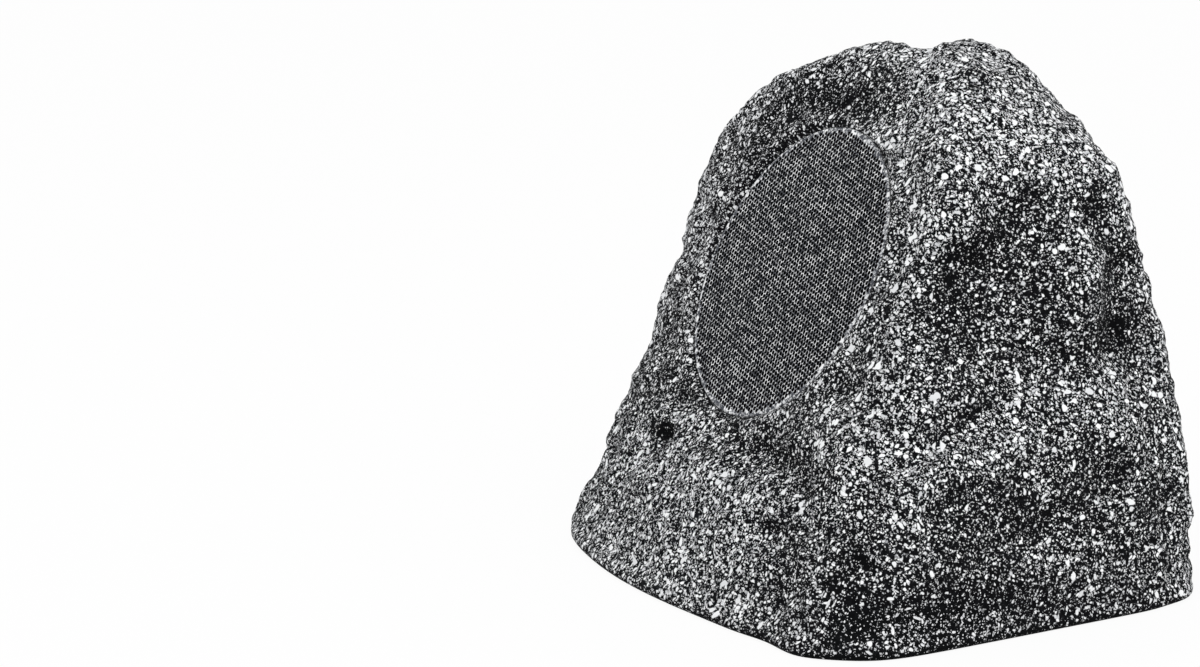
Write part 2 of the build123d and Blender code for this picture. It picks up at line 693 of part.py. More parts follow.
# Foam seal under the basket's flange
with BuildPart() as driver_seal:
    turned_ring(cutout_radius, driver_radius, seat_level, flange_back)
    with BuildSketch(grille_plane.offset(seat_level)):
        with Locations(*driver_screw_spots):
            Circle(SCREW_CLEARANCE_HOLE / 2)
    extrude(amount=DRIVER_SEAL, mode=Mode.SUBTRACT)
driver_seal.part.label = "driver_seal"
export_step(driver_seal.part, "parts/driver_seal.step")

# Woofer basket: a pressed frame with six spokes, a seat for the spider and a floor for the motor
with BuildPart() as woofer_basket:
    floor_bore = gap_radius + BASKET_SHEET
    turned(
        [
            (driver_radius, flange_front),
            (mouth_radius, flange_front),
            (seat_outer, spider_seat),
            (seat_inner, spider_seat),
            (seat_inner, basket_back + BASKET_SHEET),
            (floor_bore, basket_back + BASKET_SHEET),
            (floor_bore, basket_back),
            (seat_inner + BASKET_SHEET, basket_back),
            (seat_inner + BASKET_SHEET, strip_front),
            (seat_outer + BASKET_SHEET, strip_front),
            (mouth_radius + BASKET_SHEET, flange_back),
            (driver_radius, flange_back),
        ]
    )
    with BuildSketch(grille_plane.offset(spider_seat)):
        Circle(mouth_radius - WINDOW_EDGE)
        Circle(seat_outer + WINDOW_EDGE, mode=Mode.SUBTRACT)
        with PolarLocations(0, SPOKE_COUNT // 2, angular_range=180):
            Rectangle(BASKET_MOUTH, SPOKE_WIDTH, mode=Mode.SUBTRACT)
    extrude(amount=flange_back - spider_seat, mode=Mode.SUBTRACT)
    with BuildSketch(grille_plane.offset(flange_back)):
        with Locations(*driver_screw_spots):
            Circle(SCREW_CLEARANCE_HOLE / 2)
    extrude(amount=BASKET_FLANGE, mode=Mode.SUBTRACT)
woofer_basket.part.label = "woofer_basket"
export_step(woofer_basket.part, "parts/woofer_basket.step")

# Screws through the basket's flange into the pocket's floor
with BuildPart() as driver_screws:
    flange_face = grille_plane.offset(flange_front)
    pan_screws(flange_face, flange_screw_spots, SCREW_SHANK, SCREW_HEAD, driver_screw_length)
driver_screws.part.label = "driver_screws"
export_step(driver_screws.part, "parts/driver_screws.step")

# Rubber surround: a half roll between the cone's lip and the basket
with BuildPart() as surround:
    roll_middle = mouth_radius - ROLL_WIDTH / 2
    roll_rise = ROLL_WIDTH / 2
    lip_front = flange_front + SURROUND_SHEET
    outer_crest = (roll_middle, lip_front + roll_rise)
    inner_crest = (roll_middle, flange_front + roll_rise)
    outer_edge = mouth_radius + SURROUND_LIP
    inner_start = lip_outer + SURROUND_SHEET
    inner_end = mouth_radius - SURROUND_SHEET
    with BuildSketch(turning_plane):
        with BuildLine():
            Polyline((inner_start, flange_front), (lip_inner, flange_front), (lip_inner, lip_front))
            Line((lip_inner, lip_front), (lip_outer, lip_front))
            ThreePointArc((lip_outer, lip_front), outer_crest, (mouth_radius, lip_front))
            Polyline((mouth_radius, lip_front), (outer_edge, lip_front), (outer_edge, flange_front))
            Line((outer_edge, flange_front), (inner_end, flange_front))
            ThreePointArc((inner_end, flange_front), inner_crest, (inner_start, flange_front))
        make_face()
    revolve(axis=driver_axis)
surround.part.label = "surround"
export_step(surround.part, "parts/surround.step")

# Cone: a flat lip under the surround, straight flanks and a short neck round the former
with BuildPart() as cone:
    turned(
        [
            (lip_outer, flange_front),
            (lip_inner, flange_front),
            (former_outer, neck_front),
            (former_outer, neck_front - CONE_NECK),
            (lip_inner, flange_front - CONE_SHEET),
            (lip_outer, flange_front - CONE_SHEET),
        ]
    )
cone.part.label = "cone"
export_step(cone.part, "parts/cone.step")

# Dust cap: a shallow dome glued to the cone's front
with BuildPart() as dust_cap:
    cap_radius = DUST_CAP_DIAMETER / 2
    cap_inner = cap_radius - DUST_CAP_SHEET
    cap_rim = neck_front + (cap_radius - former_outer) * cone_slope
    cap_inner_rim = neck_front + (cap_inner - former_outer) * cone_slope
    cap_top = cap_rim + DUST_CAP_RISE
    with BuildSketch(turning_plane):
        with BuildLine():
            Line((0, cap_top - DUST_CAP_SHEET), (0, cap_top))
            TangentArc((0, cap_top), (cap_radius, cap_rim), tangent=(1, 0))
            Line((cap_radius, cap_rim), (cap_inner, cap_inner_rim))
            TangentArc((0, cap_top - DUST_CAP_SHEET), (cap_inner, cap_inner_rim), tangent=(1, 0))
        make_face()
    revolve(axis=driver_axis)
dust_cap.part.label = "dust_cap"
export_step(dust_cap.part, "parts/dust_cap.step")

# Voice coil former, a thin tube from the cone's neck into the motor's gap
with BuildPart() as coil_former:
    turned_ring(former_inner, former_outer, coil_back, neck_front + FORMER_PROUD)
coil_former.part.label = "coil_former"
export_step(coil_former.part, "parts/coil_former.step")

# Voice coil, wound on the former and centred in the gap
with BuildPart() as voice_coil:
    turned_ring(former_outer, coil_outer, coil_back, coil_back + COIL_HEIGHT)
voice_coil.part.label = "voice_coil"
export_step(voice_coil.part, "parts/voice_coil.step")

# Spider: a corrugated cloth ring from the former to its seat on the basket
with BuildPart() as spider:
    wave_start = former_outer + SPIDER_COLLAR
    wave_step = (seat_inner - wave_start) / (2 * SPIDER_WAVES)
    wave = [
        (wave_start + step * wave_step, spider_seat + step % 2 * SPIDER_WAVE)
        for step in range(2 * SPIDER_WAVES + 1)
    ]
    lower = [(former_outer, spider_seat), *wave, (seat_outer - SPIDER_SHEET, spider_seat)]
    upper = [(radius, level + SPIDER_SHEET) for radius, level in lower]
    turned(lower + upper[::-1])
spider.part.label = "spider"
export_step(spider.part, "parts/spider.step")

# Motor: front plate, ring magnet, and a back plate that carries the vented pole
with BuildPart() as top_plate:
    turned_ring(gap_radius, TOP_PLATE_DIAMETER / 2, top_plate_back, basket_back)
top_plate.part.label = "top_plate"
export_step(top_plate.part, "parts/top_plate.step")

with BuildPart() as magnet:
    turned_ring(MAGNET_BORE / 2, MAGNET_DIAMETER / 2, magnet_back, top_plate_back)
magnet.part.label = "magnet"
export_step(magnet.part, "parts/magnet.step")

with BuildPart() as pole_yoke:
    vent_radius = POLE_VENT / 2
    pole_front = basket_back + POLE_PROUD
    turned(
        [
            (vent_radius, yoke_back),
            (YOKE_DIAMETER / 2, yoke_back),
            (YOKE_DIAMETER / 2, magnet_back),
            (pole_radius, magnet_back),
            (pole_radius, pole_front),
            (vent_radius, pole_front),
        ]
    )
pole_yoke.part.label = "pole_yoke"
export_step(pole_yoke.part, "parts/pole_yoke.step")

# Terminal strip behind the spider's seat, and its solder tabs
with BuildPart() as terminal_strip:
    with BuildSketch(grille_plane.offset(strip_front)):
        with Locations((0, -strip_radius)):
            Rectangle(STRIP_LENGTH, STRIP_WIDTH)
    extrude(amount=-STRIP_THICKNESS)
terminal_strip.part.label = "terminal_strip"
export_step(terminal_strip.part, "parts/terminal_strip.step")

with BuildPart() as terminal_tabs:
    with BuildSketch(grille_plane.offset(strip_back)):
        with Locations((-TAB_SPACING / 2, -strip_radius), (TAB_SPACING / 2, -strip_radius)):
            Rectangle(TAB_WIDTH, TAB_THICKNESS)
    extrude(amount=-TAB_LENGTH)
terminal_tabs.part.label = "terminal_tabs"
export_step(terminal_tabs.part, "parts/terminal_tabs.step")

# Bridge across the basket's front, with a ring in its middle for the tweeter
with BuildPart() as tweeter_bridge:
    with BuildSketch(grille_plane.offset(bridge_back)):
        Rectangle(2 * driver_screw_radius + BRIDGE_FOOT, BRIDGE_WIDTH)
        Circle(BRIDGE_RING / 2)
        Circle(TWEETER_DOME / 2 + BRIDGE_RING_GAP, mode=Mode.SUBTRACT)
    extrude(amount=BRIDGE_THICKNESS)
    with BuildSketch(grille_plane.offset(flange_front)):
        with Locations(*bridge_screw_spots):
            Rectangle(BRIDGE_FOOT, BRIDGE_WIDTH)
    extrude(amount=BRIDGE_STANDOFF)
    with BuildSketch(grille_plane.offset(flange_front)):
        with Locations(*bridge_screw_spots):
            Circle(SCREW_CLEARANCE_HOLE / 2)
    extrude(amount=bridge_front - flange_front, mode=Mode.SUBTRACT)
tweeter_bridge.part.label = "tweeter_bridge"
export_step(tweeter_bridge.part, "parts/tweeter_bridge.step")

# Two longer screws that hold the bridge and the basket together
with BuildPart() as bridge_screws:
    bridge_screw_length = driver_screw_length + bridge_front - flange_front
    bridge_face = grille_plane.offset(bridge_front)
    pan_screws(bridge_face, bridge_screw_spots, SCREW_SHANK, SCREW_HEAD, bridge_screw_length)
bridge_screws.part.label = "bridge_screws"
export_step(bridge_screws.part, "parts/bridge_screws.step")

# Tweeter: a cup behind the bridge's ring, its magnet and its dome
with BuildPart() as tweeter_cup:
    cup_radius = TWEETER_CUP / 2
    cup_inner = cup_radius - TWEETER_CUP_WALL
    cup_floor = tweeter_back + TWEETER_CUP_WALL
    turned(
        [
            (0, tweeter_back),
            (cup_radius, tweeter_back),
            (cup_radius, tweeter_front),
            (cup_inner, tweeter_front),
            (cup_inner, cup_floor),
            (0, cup_floor),
        ]
    )
tweeter_cup.part.label = "tweeter_cup"
export_step(tweeter_cup.part, "parts/tweeter_cup.step")

with BuildPart() as tweeter_magnet:
    with BuildSketch(grille_plane.offset(cup_floor)):
        Circle(TWEETER_MAGNET / 2)
    extrude(amount=TWEETER_MAGNET_HEIGHT)
tweeter_magnet.part.label = "tweeter_magnet"
export_step(tweeter_magnet.part, "parts/tweeter_magnet.step")

with BuildPart() as tweeter_dome:
    dome_radius = TWEETER_DOME / 2
    dome_top = bridge_back + TWEETER_DOME_RISE
    dome_inner = dome_radius - TWEETER_DOME_SHEET
    with BuildSketch(turning_plane):
        with BuildLine():
            Line((0, dome_top - TWEETER_DOME_SHEET), (0, dome_top))
            TangentArc((0, dome_top), (dome_radius, bridge_back), tangent=(1, 0))
            Polyline((dome_radius, bridge_back), (cup_radius, bridge_back), (cup_radius, tweeter_front))
            Line((cup_radius, tweeter_front), (dome_inner, tweeter_front))
            TangentArc((0, dome_top - TWEETER_DOME_SHEET), (dome_inner, tweeter_front), tangent=(1, 0))
        make_face()
    revolve(axis=driver_axis)
tweeter_dome.part.label = "tweeter_dome"
export_step(tweeter_dome.part, "parts/tweeter_dome.step")

# Crossover board and what is soldered to it
with BuildPart() as crossover_board:
    with BuildSketch(Plane.XY.offset(board_bottom)):
        with Locations(board_centre):
            Rectangle(BOARD_LENGTH, BOARD_WIDTH)
            with GridLocations(standoff_span_x, standoff_span_y, 2, 2):
                Circle(BOARD_SCREW_CLEARANCE_HOLE / 2, mode=Mode.SUBTRACT)
    extrude(amount=BOARD_THICKNESS)
crossover_board.part.label = "crossover_board"
export_step(crossover_board.part, "parts/crossover_board.step")

board_face = Plane.XY.offset(board_top)

with BuildPart() as board_screws:
    with GridLocations(standoff_span_x, standoff_span_y, 2, 2) as board_grid:
        board_spots = [(BOARD_X + spot.position.X, BOARD_Y + spot.position.Y) for spot in board_grid]
    board_screw_length = BOARD_THICKNESS + BOARD_SCREW_GRIP
    pan_screws(board_face, board_spots, BOARD_SCREW_SHANK, BOARD_SCREW_HEAD, board_screw_length)
board_screws.part.label = "board_screws"
export_step(board_screws.part, "parts/board_screws.step")

with BuildPart() as capacitor:
    with BuildSketch(board_face):
        with Locations((BOARD_X + CAPACITOR_SPOT[0], BOARD_Y + CAPACITOR_SPOT[1])):
            Circle(CAPACITOR_DIAMETER / 2)
    extrude(amount=CAPACITOR_HEIGHT)
    chamfer(capacitor.faces().sort_by(Axis.Z)[-1].edges(), CAPACITOR_BEVEL)
capacitor.part.label = "capacitor"
export_step(capacitor.part, "parts/capacitor.step")

bobbin_plane = Plane(origin=(BOARD_X + BOBBIN_SPOT[0], BOARD_Y + BOBBIN_SPOT[1], board_top), z_dir=(0, 0, 1))
winding_height = BOBBIN_HEIGHT - 2 * BOBBIN_FLANGE

with BuildPart() as inductor_bobbin:
    with BuildSketch(bobbin_plane):
        Circle(BOBBIN_DIAMETER / 2)
    extrude(amount=BOBBIN_FLANGE)
    with BuildSketch(bobbin_plane.offset(BOBBIN_FLANGE)):
        Circle(BOBBIN_CORE / 2)
    extrude(amount=winding_height)
    with BuildSketch(bobbin_plane.offset(BOBBIN_FLANGE + winding_height)):
        Circle(BOBBIN_DIAMETER / 2)
    extrude(amount=BOBBIN_FLANGE)
inductor_bobbin.part.label = "inductor_bobbin"
export_step(inductor_bobbin.part, "parts/inductor_bobbin.step")

with BuildPart() as inductor_winding:
    with BuildSketch(bobbin_plane.offset(BOBBIN_FLANGE)):
        Circle(BOBBIN_DIAMETER / 2 - BOBBIN_FLANGE)
        Circle(BOBBIN_CORE / 2, mode=Mode.SUBTRACT)
    extrude(amount=winding_height)
inductor_winding.part.label = "inductor_winding"
export_step(inductor_winding.part, "parts/inductor_winding.step")

with BuildPart() as resistor:
    with BuildSketch(board_face):
        with Locations((BOARD_X + RESISTOR_SPOT[0], BOARD_Y + RESISTOR_SPOT[1])):
            Rectangle(RESISTOR_LENGTH, RESISTOR_WIDTH)
    extrude(amount=RESISTOR_WIDTH)
resistor.part.label = "resistor"
export_step(resistor.part, "parts/resistor.step")

with BuildPart() as terminal_block:
    block_x = BOARD_X + TERMINAL_SPOT[0]
    block_y = BOARD_Y + TERMINAL_SPOT[1]
    with BuildSketch(board_face):
        with Locations((block_x, block_y)):
            Rectangle(TERMINAL_BLOCK_LENGTH, TERMINAL_BLOCK_WIDTH)
    extrude(amount=TERMINAL_BLOCK_HEIGHT)
    # Wire entries in its outer side
    entry_side = block_y - TERMINAL_BLOCK_WIDTH / 2
    entry_level = board_top + TERMINAL_BLOCK_HEIGHT / 2
    with BuildSketch(Plane(origin=(block_x, entry_side, entry_level), x_dir=(1, 0, 0), z_dir=(0, -1, 0))):
        with GridLocations(TERMINAL_BLOCK_LENGTH / 2, 1, 2, 1):
            Circle(TERMINAL_HOLE / 2)
    extrude(amount=-TERMINAL_BLOCK_WIDTH / 2, mode=Mode.SUBTRACT)
terminal_block.part.label = "terminal_block"
export_step(terminal_block.part, "parts/terminal_block.step")
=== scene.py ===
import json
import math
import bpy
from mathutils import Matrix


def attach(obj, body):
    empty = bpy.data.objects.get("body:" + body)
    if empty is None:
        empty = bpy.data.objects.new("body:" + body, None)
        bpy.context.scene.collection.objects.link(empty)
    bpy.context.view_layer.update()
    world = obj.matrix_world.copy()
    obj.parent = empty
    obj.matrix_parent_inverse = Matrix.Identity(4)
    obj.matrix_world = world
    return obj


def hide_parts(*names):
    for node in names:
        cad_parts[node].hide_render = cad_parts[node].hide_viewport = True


bl_info = {
    "name": "Rock garden speaker",
    "version": (1, 0, 0),
    "blender": (4, 5, 0),
    "location": "View3D > Sidebar > Rock speaker",
    "description": "Dresses the boulder speaker: rock shell, perforated grille, screws, inner parts and stage",
    "category": "Object",
}

import bmesh
import bpy
import numpy as np
from bpy.props import FloatProperty, FloatVectorProperty, PointerProperty
from mathutils import Matrix, Vector

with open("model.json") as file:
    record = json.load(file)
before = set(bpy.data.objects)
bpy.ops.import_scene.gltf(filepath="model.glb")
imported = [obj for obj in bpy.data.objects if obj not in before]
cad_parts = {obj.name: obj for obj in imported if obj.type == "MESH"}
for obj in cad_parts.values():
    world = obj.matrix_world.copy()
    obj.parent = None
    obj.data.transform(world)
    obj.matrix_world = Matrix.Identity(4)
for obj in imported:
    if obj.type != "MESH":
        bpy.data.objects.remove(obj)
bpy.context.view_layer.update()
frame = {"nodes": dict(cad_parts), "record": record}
NODES = frame["nodes"]
CABINET = "cabinet"
MM = 0.001

# The rock's form, in millimetres: the same faces and hollows as the moulded shell has
ROCK_HEIGHT = 286.0
SUMMIT_SHIFT = (-12.0, 36.0)
RIDGE_SOFTNESS = 7.0
LEDGE_SOFTNESS = 4.0
SUMMIT_ROUND = 12.0
SUMMIT_CLOSURE = 0.75
FOOT_ROUND_HEIGHT = 4.0
FOOT_ROUND_WIDTH = 3.0
WALL = 5.0
RIM_WALL = 6.0
FLANGE_WIDTH = 14.0
FLANGE_BOTTOM = 8.5
FLANGE_TOP = 14.5
FACE_BEARING = -4.0
FACE_LEAN = 27.0

# Each face: bearing from the front towards the right, reach from the origin, height of that reach, lean
CROWN = (
    (-4, 136.5, 0, 27),
    (-31, 174, 0, 20),
    (-90, 159, 0, -3),
    (-140, 172, 0, 5),
    (180, 124, 0, 5),
    (149, 167, 0, 3),
    (149, 146, 165, 20),
    (92, 151, 0, 11),
    (92, 116, 190, 24),
    (50, 186, 0, 24),
    (-90, 172, 241, 70),
    (-60, 124, 241, 50),
    (-34, 100, 241, 46),
    (-34, 77, 262, 57),
    (88, 58, 262, 52),
    (50, 57, 262, 56),
    (0, -1, 262, 46),
    (180, 78, 262, 58),
    (149, 84, 262, 54),
)
PLINTH = (
    (-12, 159, 0, 31),
    (4, 152, 0, 28),
    (15, 159, 0, 26),
    (-31, 184, 0, 31),
    (-90, 159, 0, 0),
    (48, 178, 0, 6),
    (91, 151, 0, 1),
    (180, 108, 0, 8),
    (150, 148, 0, 5),
    (-140, 158, 0, 6),
    (0, 111, 77, 68),
    (-31, 140, 77, 60),
    (45, 160, 87, 58),
    (90, 151, 85, 34),
    (-130, 150, 77, 55),
)
SUMMIT = (
    (-113, 72, 268, 42),
    (90, 34, 268, 46),
    (0, -12, 268, 40),
    (180, 96, 268, 42),
    (146, 80, 268, 47),
    (45, 22, 268, 45),
    (-90, 92, 0, 0),
    (90, 50, 0, 0),
    (0, -4, 0, 0),
    (180, 100, 0, 0),
)
# Each hollow: bearing, height, half width round the rock, half height above and below it, depth
# A boss has a depth below zero
HOLLOWS = (
    (76, 172, 34, 46, 46, 17),
    (117, 150, 24, 34, 34, 3),
    (-34, 62, 15, 11, 11, 6),
    (101, 174, 15, 28, 28, -16),
    (-88, 196, 30, 26, 26, -6),
    (-86, 120, 40, 22, 22, 5),
    (86, 210, 22, 13, 20, 6),
    (66, 182, 20, 15, 32, 7),
    (72, 206, 16, 9, 9, -3),
    (90, 136, 22, 14, 18, 4),
    (110, 208, 11, 11, 12, 4),
    (117, 178, 11, 11, 12, 4),
    (116, 138, 20, 14, 20, 8),
    (66, 78, 22, 10, 16, 4),
    (87, 56, 24, 10, 16, 4),
    (105, 76, 15, 10, 14, 4),
    (46, 95, 18, 9, 10, -4),
    (36, 18, 19, 44, 40, 7),
    (138, 118, 26, 30, 30, -5),
    (14, 79, 46, 6, 8, 6),
    (36, 260, 14, 9, 12, 4),
    (-20, 250, 40, 8, 11, 3),
    (-12, 229, 26, 8, 10, -3),
    (-70, 150, 20, 12, 22, 4),
    (-104, 176, 24, 10, 26, 5),
    (-120, 96, 30, 12, 24, 5),
    (-150, 200, 26, 12, 30, 5),
    (170, 150, 34, 12, 36, 6),
    (150, 220, 20, 10, 22, 5),
    (-165, 90, 24, 10, 20, 4),
    (140, 90, 22, 10, 22, 5),
)
# Smaller breaks in the skin, told in the same way
BREAKS = (
    (115, 91, 4, 12, 14, 3),
    (51, 78, 14, 6, 12, 2.5),
    (-30, 70, 9, 5, 7, 5),
    (42, 123, 10, 6, 8, 3),
    (51, 47, 9, 4, 7, 3),
    (30, 51, 12, 3, 5, 3),
    (-50, 2, 20, 20, 20, 5),
)
# Chips broken from the skin, each a small plane of its own
CHIP_COUNT = 150
CHIP_STEP = 2.4
CHIP_TILT = 7.0
CHIP_BLEND = 24.0
CHIP_SCATTER = 12.0
CALM_WIDTH = 24.0
GOLDEN_TURN = math.pi * (3 - math.sqrt(5))
# Knobs and the saddle between them on the summit: x, y, half width, rise
SUMMIT_KNOBS = (
    (-60, 26, 15, 1),
    (-10, 66, 15, 1.5),
    (-12, 31, 13, -6),
    (-34, 45, 13, -6),
    (-56, 59, 13, -6),
)
# Between these heights the knobs come in
KNOB_LEVELS = (255.0, 278.0)

# The grille's place, and the turned pocket behind it: radius and level along the driver's axis
GRILLE_CENTRE = (-25.0, -47.0954, 165.0)
GRILLE_RADIUS = 84.85
RECESS_RADIUS = 85.35
POCKET_WALL = 4.5
HOLE_SIDES = 12
FACE_SOFTNESS = 1.2
FLARE_WIDTH = 30.0
# How far behind the grille's front the skin is cut, and how far the inner wall
FACE_DEPTH = 40.0
POCKET_DEPTH = 60.0
POCKET_PROFILE = (
    (85.35, -5.0),
    (82.75, -5.0),
    (82.75, -22.0),
    (71.5, -22.0),
    (71.5, -30.0),
    (89.85, -30.0),
)

# The cable's flat spot on the back, and the boss behind it
ENTRY_RADIUS = 6.1
ENTRY_SPOT_RADIUS = 13.0
ENTRY_BOSS_LENGTH = 12.0
ENTRY_SPOT_DEPTH = 2.4
ENTRY_SPOT_SLOPE = 1.5
CABLE_HEIGHT = 34.0
# How far behind the flat spot the skin is cut, and how far the inner wall
ENTRY_DEPTH = 20.0
BOSS_DEPTH = 30.0

# Distances from the recess, the flat spot and the ground over which the relief comes in
FACE_CALM = (2.5, 16.0)
ENTRY_CALM = (3.0, 14.0)
FOOT_CALM = (2.5, 13.0)

# Painted light and shade, drawn in how thickly the flecks lie: the way the light comes from, and how many grid steps
# round a point tell whether it lies in a hollow, where painted shade falls
PAINTED_LIGHT_BEARING = 60.0
PAINTED_LIGHT_RISE = 78.0
PAINTED_SHADE_SPAN = (-10, -5, 0, 5, 10)
PAINTED_HOLLOW_SHADE = 0.06
PAINTED_LIGHT_FACING = (-0.40, 0.90)
# Patches of painted highlight, or of painted shade with an amount below zero: bearing, height, half width, half
# height, amount
PAINTED_LIGHT_PATCHES = (
    (-2, 34, 85, 36, 0.30),
    (-42, 212, 34, 26, 0.30),
    (-42, 254, 58, 20, -0.42),
    (-76, 218, 26, 30, -0.22),
    (74, 272, 26, 10, 0.26),
    (-22, 96, 66, 16, -0.32),
    (-30, 68, 10, 7, -0.50),
    (6, 74, 56, 6, -0.25),
    (44, 97, 18, 11, 0.38),
    (50, 30, 27, 42, -0.42),
    (66, 170, 24, 36, -0.22),
    (66, 194, 14, 14, 0.18),
    (85, 217, 14, 10, 0.18),
    (90, 176, 20, 26, -0.14),
    (102, 176, 16, 40, -0.10),
    (110, 206, 16, 24, -0.16),
    (60, 236, 60, 22, 0.20),
    (100, 30, 60, 40, 0.15),
    (-112, 110, 120, 130, 0.20),
    (172, 110, 130, 130, 0.20),
)
# Least share of flecks, where the painted shade is deepest
PAINTED_LIGHT_LEAST = 0.14

# Grid of the rock's skin
BEARINGS = 416
ROW_STEP = 1.65
CAP_RINGS = 9
CAP_RISE = 2.0
POLE_RISE = 0.2
CLOSE_ROWS = 15
CLOSE_DEPTH = 16.0
FOOT_TURNS = (0.3, 0.6, 0.85, 1.0)
CAVITY_ROWS = 22
CAVITY_INSET = 9.0
LEAST_SLANT = 0.05
FAR = 1.0e4

# The paint: least and most reach of a fleck in its cell and softness of its edge, for each size of fleck
COARSE_REACH = (-0.82, 0.46, 0.04)
MIDDLE_REACH = (-0.36, 0.58, 0.06)
FINE_REACH = (-0.24, 0.64, 0.08)
# Warps that draw a fleck out: width and strength, in fleck sizes
FLECK_WARPS = ((2.4, 1.7), (0.7, 0.35))
# How much the flecks shrink where the painted light is least and where it is most
ROCK_SHRINK = (0.30, -0.06)
GRILLE_SHRINK = (-0.14, -0.14)
# How many times paler the grille's ground is than the rock's
GRILLE_GROUND = 24.0
# How many times paler the dust is than the ground
DUST_PALENESS = 6.0
# Least share of the pale colour in a fleck, for fine, middling and coarse ones
FLECK_SHARES = (0.15, 0.45, 0.7)
# How much smoother a coarse fleck is than the ground
FLECK_GLOSS = 0.12
PAINT_SPECULAR = 0.03
# Sizes in the paint, in metres
PATCH_SIZE = 0.03
DUST_SIZE = 0.0022
GRAIN_SIZE = 0.0016
FLECK_HEIGHT = 0.0006
GRAIN_HEIGHT = 0.0003
WIRE_HEIGHT = 0.0004
ROCK_INSIDE = (0.03, 0.03, 0.032, 1.0)
HOLE_SHADE = (0.004, 0.004, 0.004, 1.0)
WHITE = (1.0, 1.0, 1.0, 1.0)
# What a finish has in its name after its slot
FINISH = "_finish"

# The grille's folded rim, in metres: where the sheet ends, inset and level of the rounded edge, and depth
SHEET_INSET = 0.0016
RIM_ROUND = ((0.0007, 0.0), (0.0003, -0.00015), (0.0, -0.0006))
RIM_DEPTH = 0.005
RIM_SIDES = 160
MERGE = 1e-6

# The stage, in metres, with the sensor in millimetres
KEY_PLACE = (0.38, -0.32, 1.95)
FILL_PLACE = (1.9, -0.1, 0.5)
KEY_SIZE = 0.55
FILL_SIZE = 1.0
LAMP_AIM = (0.0, 0.0, 0.12)
FLOOR_SIZE = 30.0
FLOOR_WHITE = 0.93
SENSOR_WIDTH = 36.0
CAMERA_PLACE = (1.61877, -1.09188, 0.58288)
CAMERA_AIM = (-0.07824, -0.13572, 0.12911)
# What the property of every length and of every colour has
LENGTH = {"unit": "LENGTH", "subtype": "DISTANCE"}
COLOUR = {"subtype": "COLOR", "size": 4}


class RockSettings(bpy.types.PropertyGroup):
    """Relief of the moulded rock."""

    crag_size: FloatProperty(name="Crag size", description="Width of the larger swells", default=0.03, **LENGTH)
    crag_depth: FloatProperty(name="Crag depth", description="Height of the larger swells", default=0.0028, **LENGTH)
    chip_size: FloatProperty(name="Chip size", description="Width of the broken chips", default=0.016, **LENGTH)
    chip_depth: FloatProperty(name="Chip depth", description="Depth of the creases", default=0.0022, **LENGTH)
    grain_depth: FloatProperty(name="Grain depth", description="Height of the grain", default=0.0008, **LENGTH)
    seed: FloatProperty(name="Seed", description="Which pattern of crags the relief takes", default=4.0)


class FinishSettings(bpy.types.PropertyGroup):
    """Colours and grain of the flecked finish."""

    charcoal: FloatVectorProperty(
        name="Charcoal", description="Ground colour", default=(0.003, 0.0032, 0.0037, 1.0), **COLOUR
    )
    pale: FloatVectorProperty(
        name="Pale fleck", description="Colour of the palest flecks", default=(0.90, 0.91, 0.92, 1.0), **COLOUR
    )
    grey: FloatVectorProperty(
        name="Grey fleck", description="Colour of the dull flecks", default=(0.30, 0.31, 0.335, 1.0), **COLOUR
    )
    coarse: FloatProperty(name="Coarse fleck", description="Spacing of the coarse flecks", default=0.0044, **LENGTH)
    fine: FloatProperty(name="Fine fleck", description="Spacing of the fine flecks", default=0.001, **LENGTH)


class GrilleSettings(bpy.types.PropertyGroup):
    """Perforation of the grille."""

    hole_diameter: FloatProperty(name="Hole", description="Diameter of a hole", default=0.0026, **LENGTH)
    hole_pitch: FloatProperty(name="Pitch", description="Distance between holes", default=0.0029, **LENGTH)
    turn: FloatProperty(
        name="Turn", description="Turn of the rows of holes from level", default=math.radians(-10.0), unit="ROTATION",
        subtype="ANGLE",
    )
    sheet: FloatProperty(name="Sheet", description="Thickness of the sheet", default=0.0007, **LENGTH)
    plain_rim: FloatProperty(name="Plain rim", description="Width of the rim with no holes", default=0.0026, **LENGTH)


class StageSettings(bpy.types.PropertyGroup):
    """Camera, lamps and floor."""

    lens: FloatProperty(name="Lens", description="Focal length of the camera in millimetres", default=109.2)
    key_power: FloatProperty(name="Key", description="Power of the overhead lamp", default=7.0, unit="POWER")
    fill_power: FloatProperty(name="Fill", description="Power of the side lamp", default=6.0, unit="POWER")
    ambient: FloatProperty(name="Ambient", description="Strength of the light from all sides", default=0.90)
    floor: FloatVectorProperty(
        name="Floor", description="Colour of the floor", default=(0.86, 0.86, 0.86, 1.0), **COLOUR
    )


class SpeakerSettings(bpy.types.PropertyGroup):
    """All that a user of the speaker may change."""

    rock: PointerProperty(type=RockSettings, name="Rock", description="Relief of the rock")
    finish: PointerProperty(type=FinishSettings, name="Finish", description="Flecked finish")
    grille: PointerProperty(type=GrilleSettings, name="Grille", description="Perforated grille")
    stage: PointerProperty(type=StageSettings, name="Stage", description="Camera, lamps and floor")


def feed(tree, node, inputs):
    """Set a node's inputs to values, or link them to sockets."""
    for socket, value in inputs.items():
        if isinstance(value, bpy.types.NodeSocket):
            tree.links.new(value, node.inputs[socket])
        else:
            node.inputs[socket].default_value = value


def add(tree, kind, inputs=None, **settings):
    """A node of a kind, with its settings and inputs."""
    made = tree.nodes.new(kind)
    for name, value in settings.items():
        setattr(made, name, value)
    feed(tree, made, inputs or {})
    return made


def first(tree, kind, inputs=None, **settings):
    """The first output of a new node."""
    return add(tree, kind, inputs, **settings).outputs[0]


def maths(tree, operation, *values):
    """The result of a Math node."""
    return first(tree, "ShaderNodeMath", dict(enumerate(values)), operation=operation)


def span(tree, value, low, high, to_low=0.0, to_high=1.0):
    """A value carried from one range to another, kept within it."""
    inputs = {"Value": value, "From Min": low, "From Max": high, "To Min": to_low, "To Max": to_high}
    return add(tree, "ShaderNodeMapRange", inputs, clamp=True).outputs["Result"]


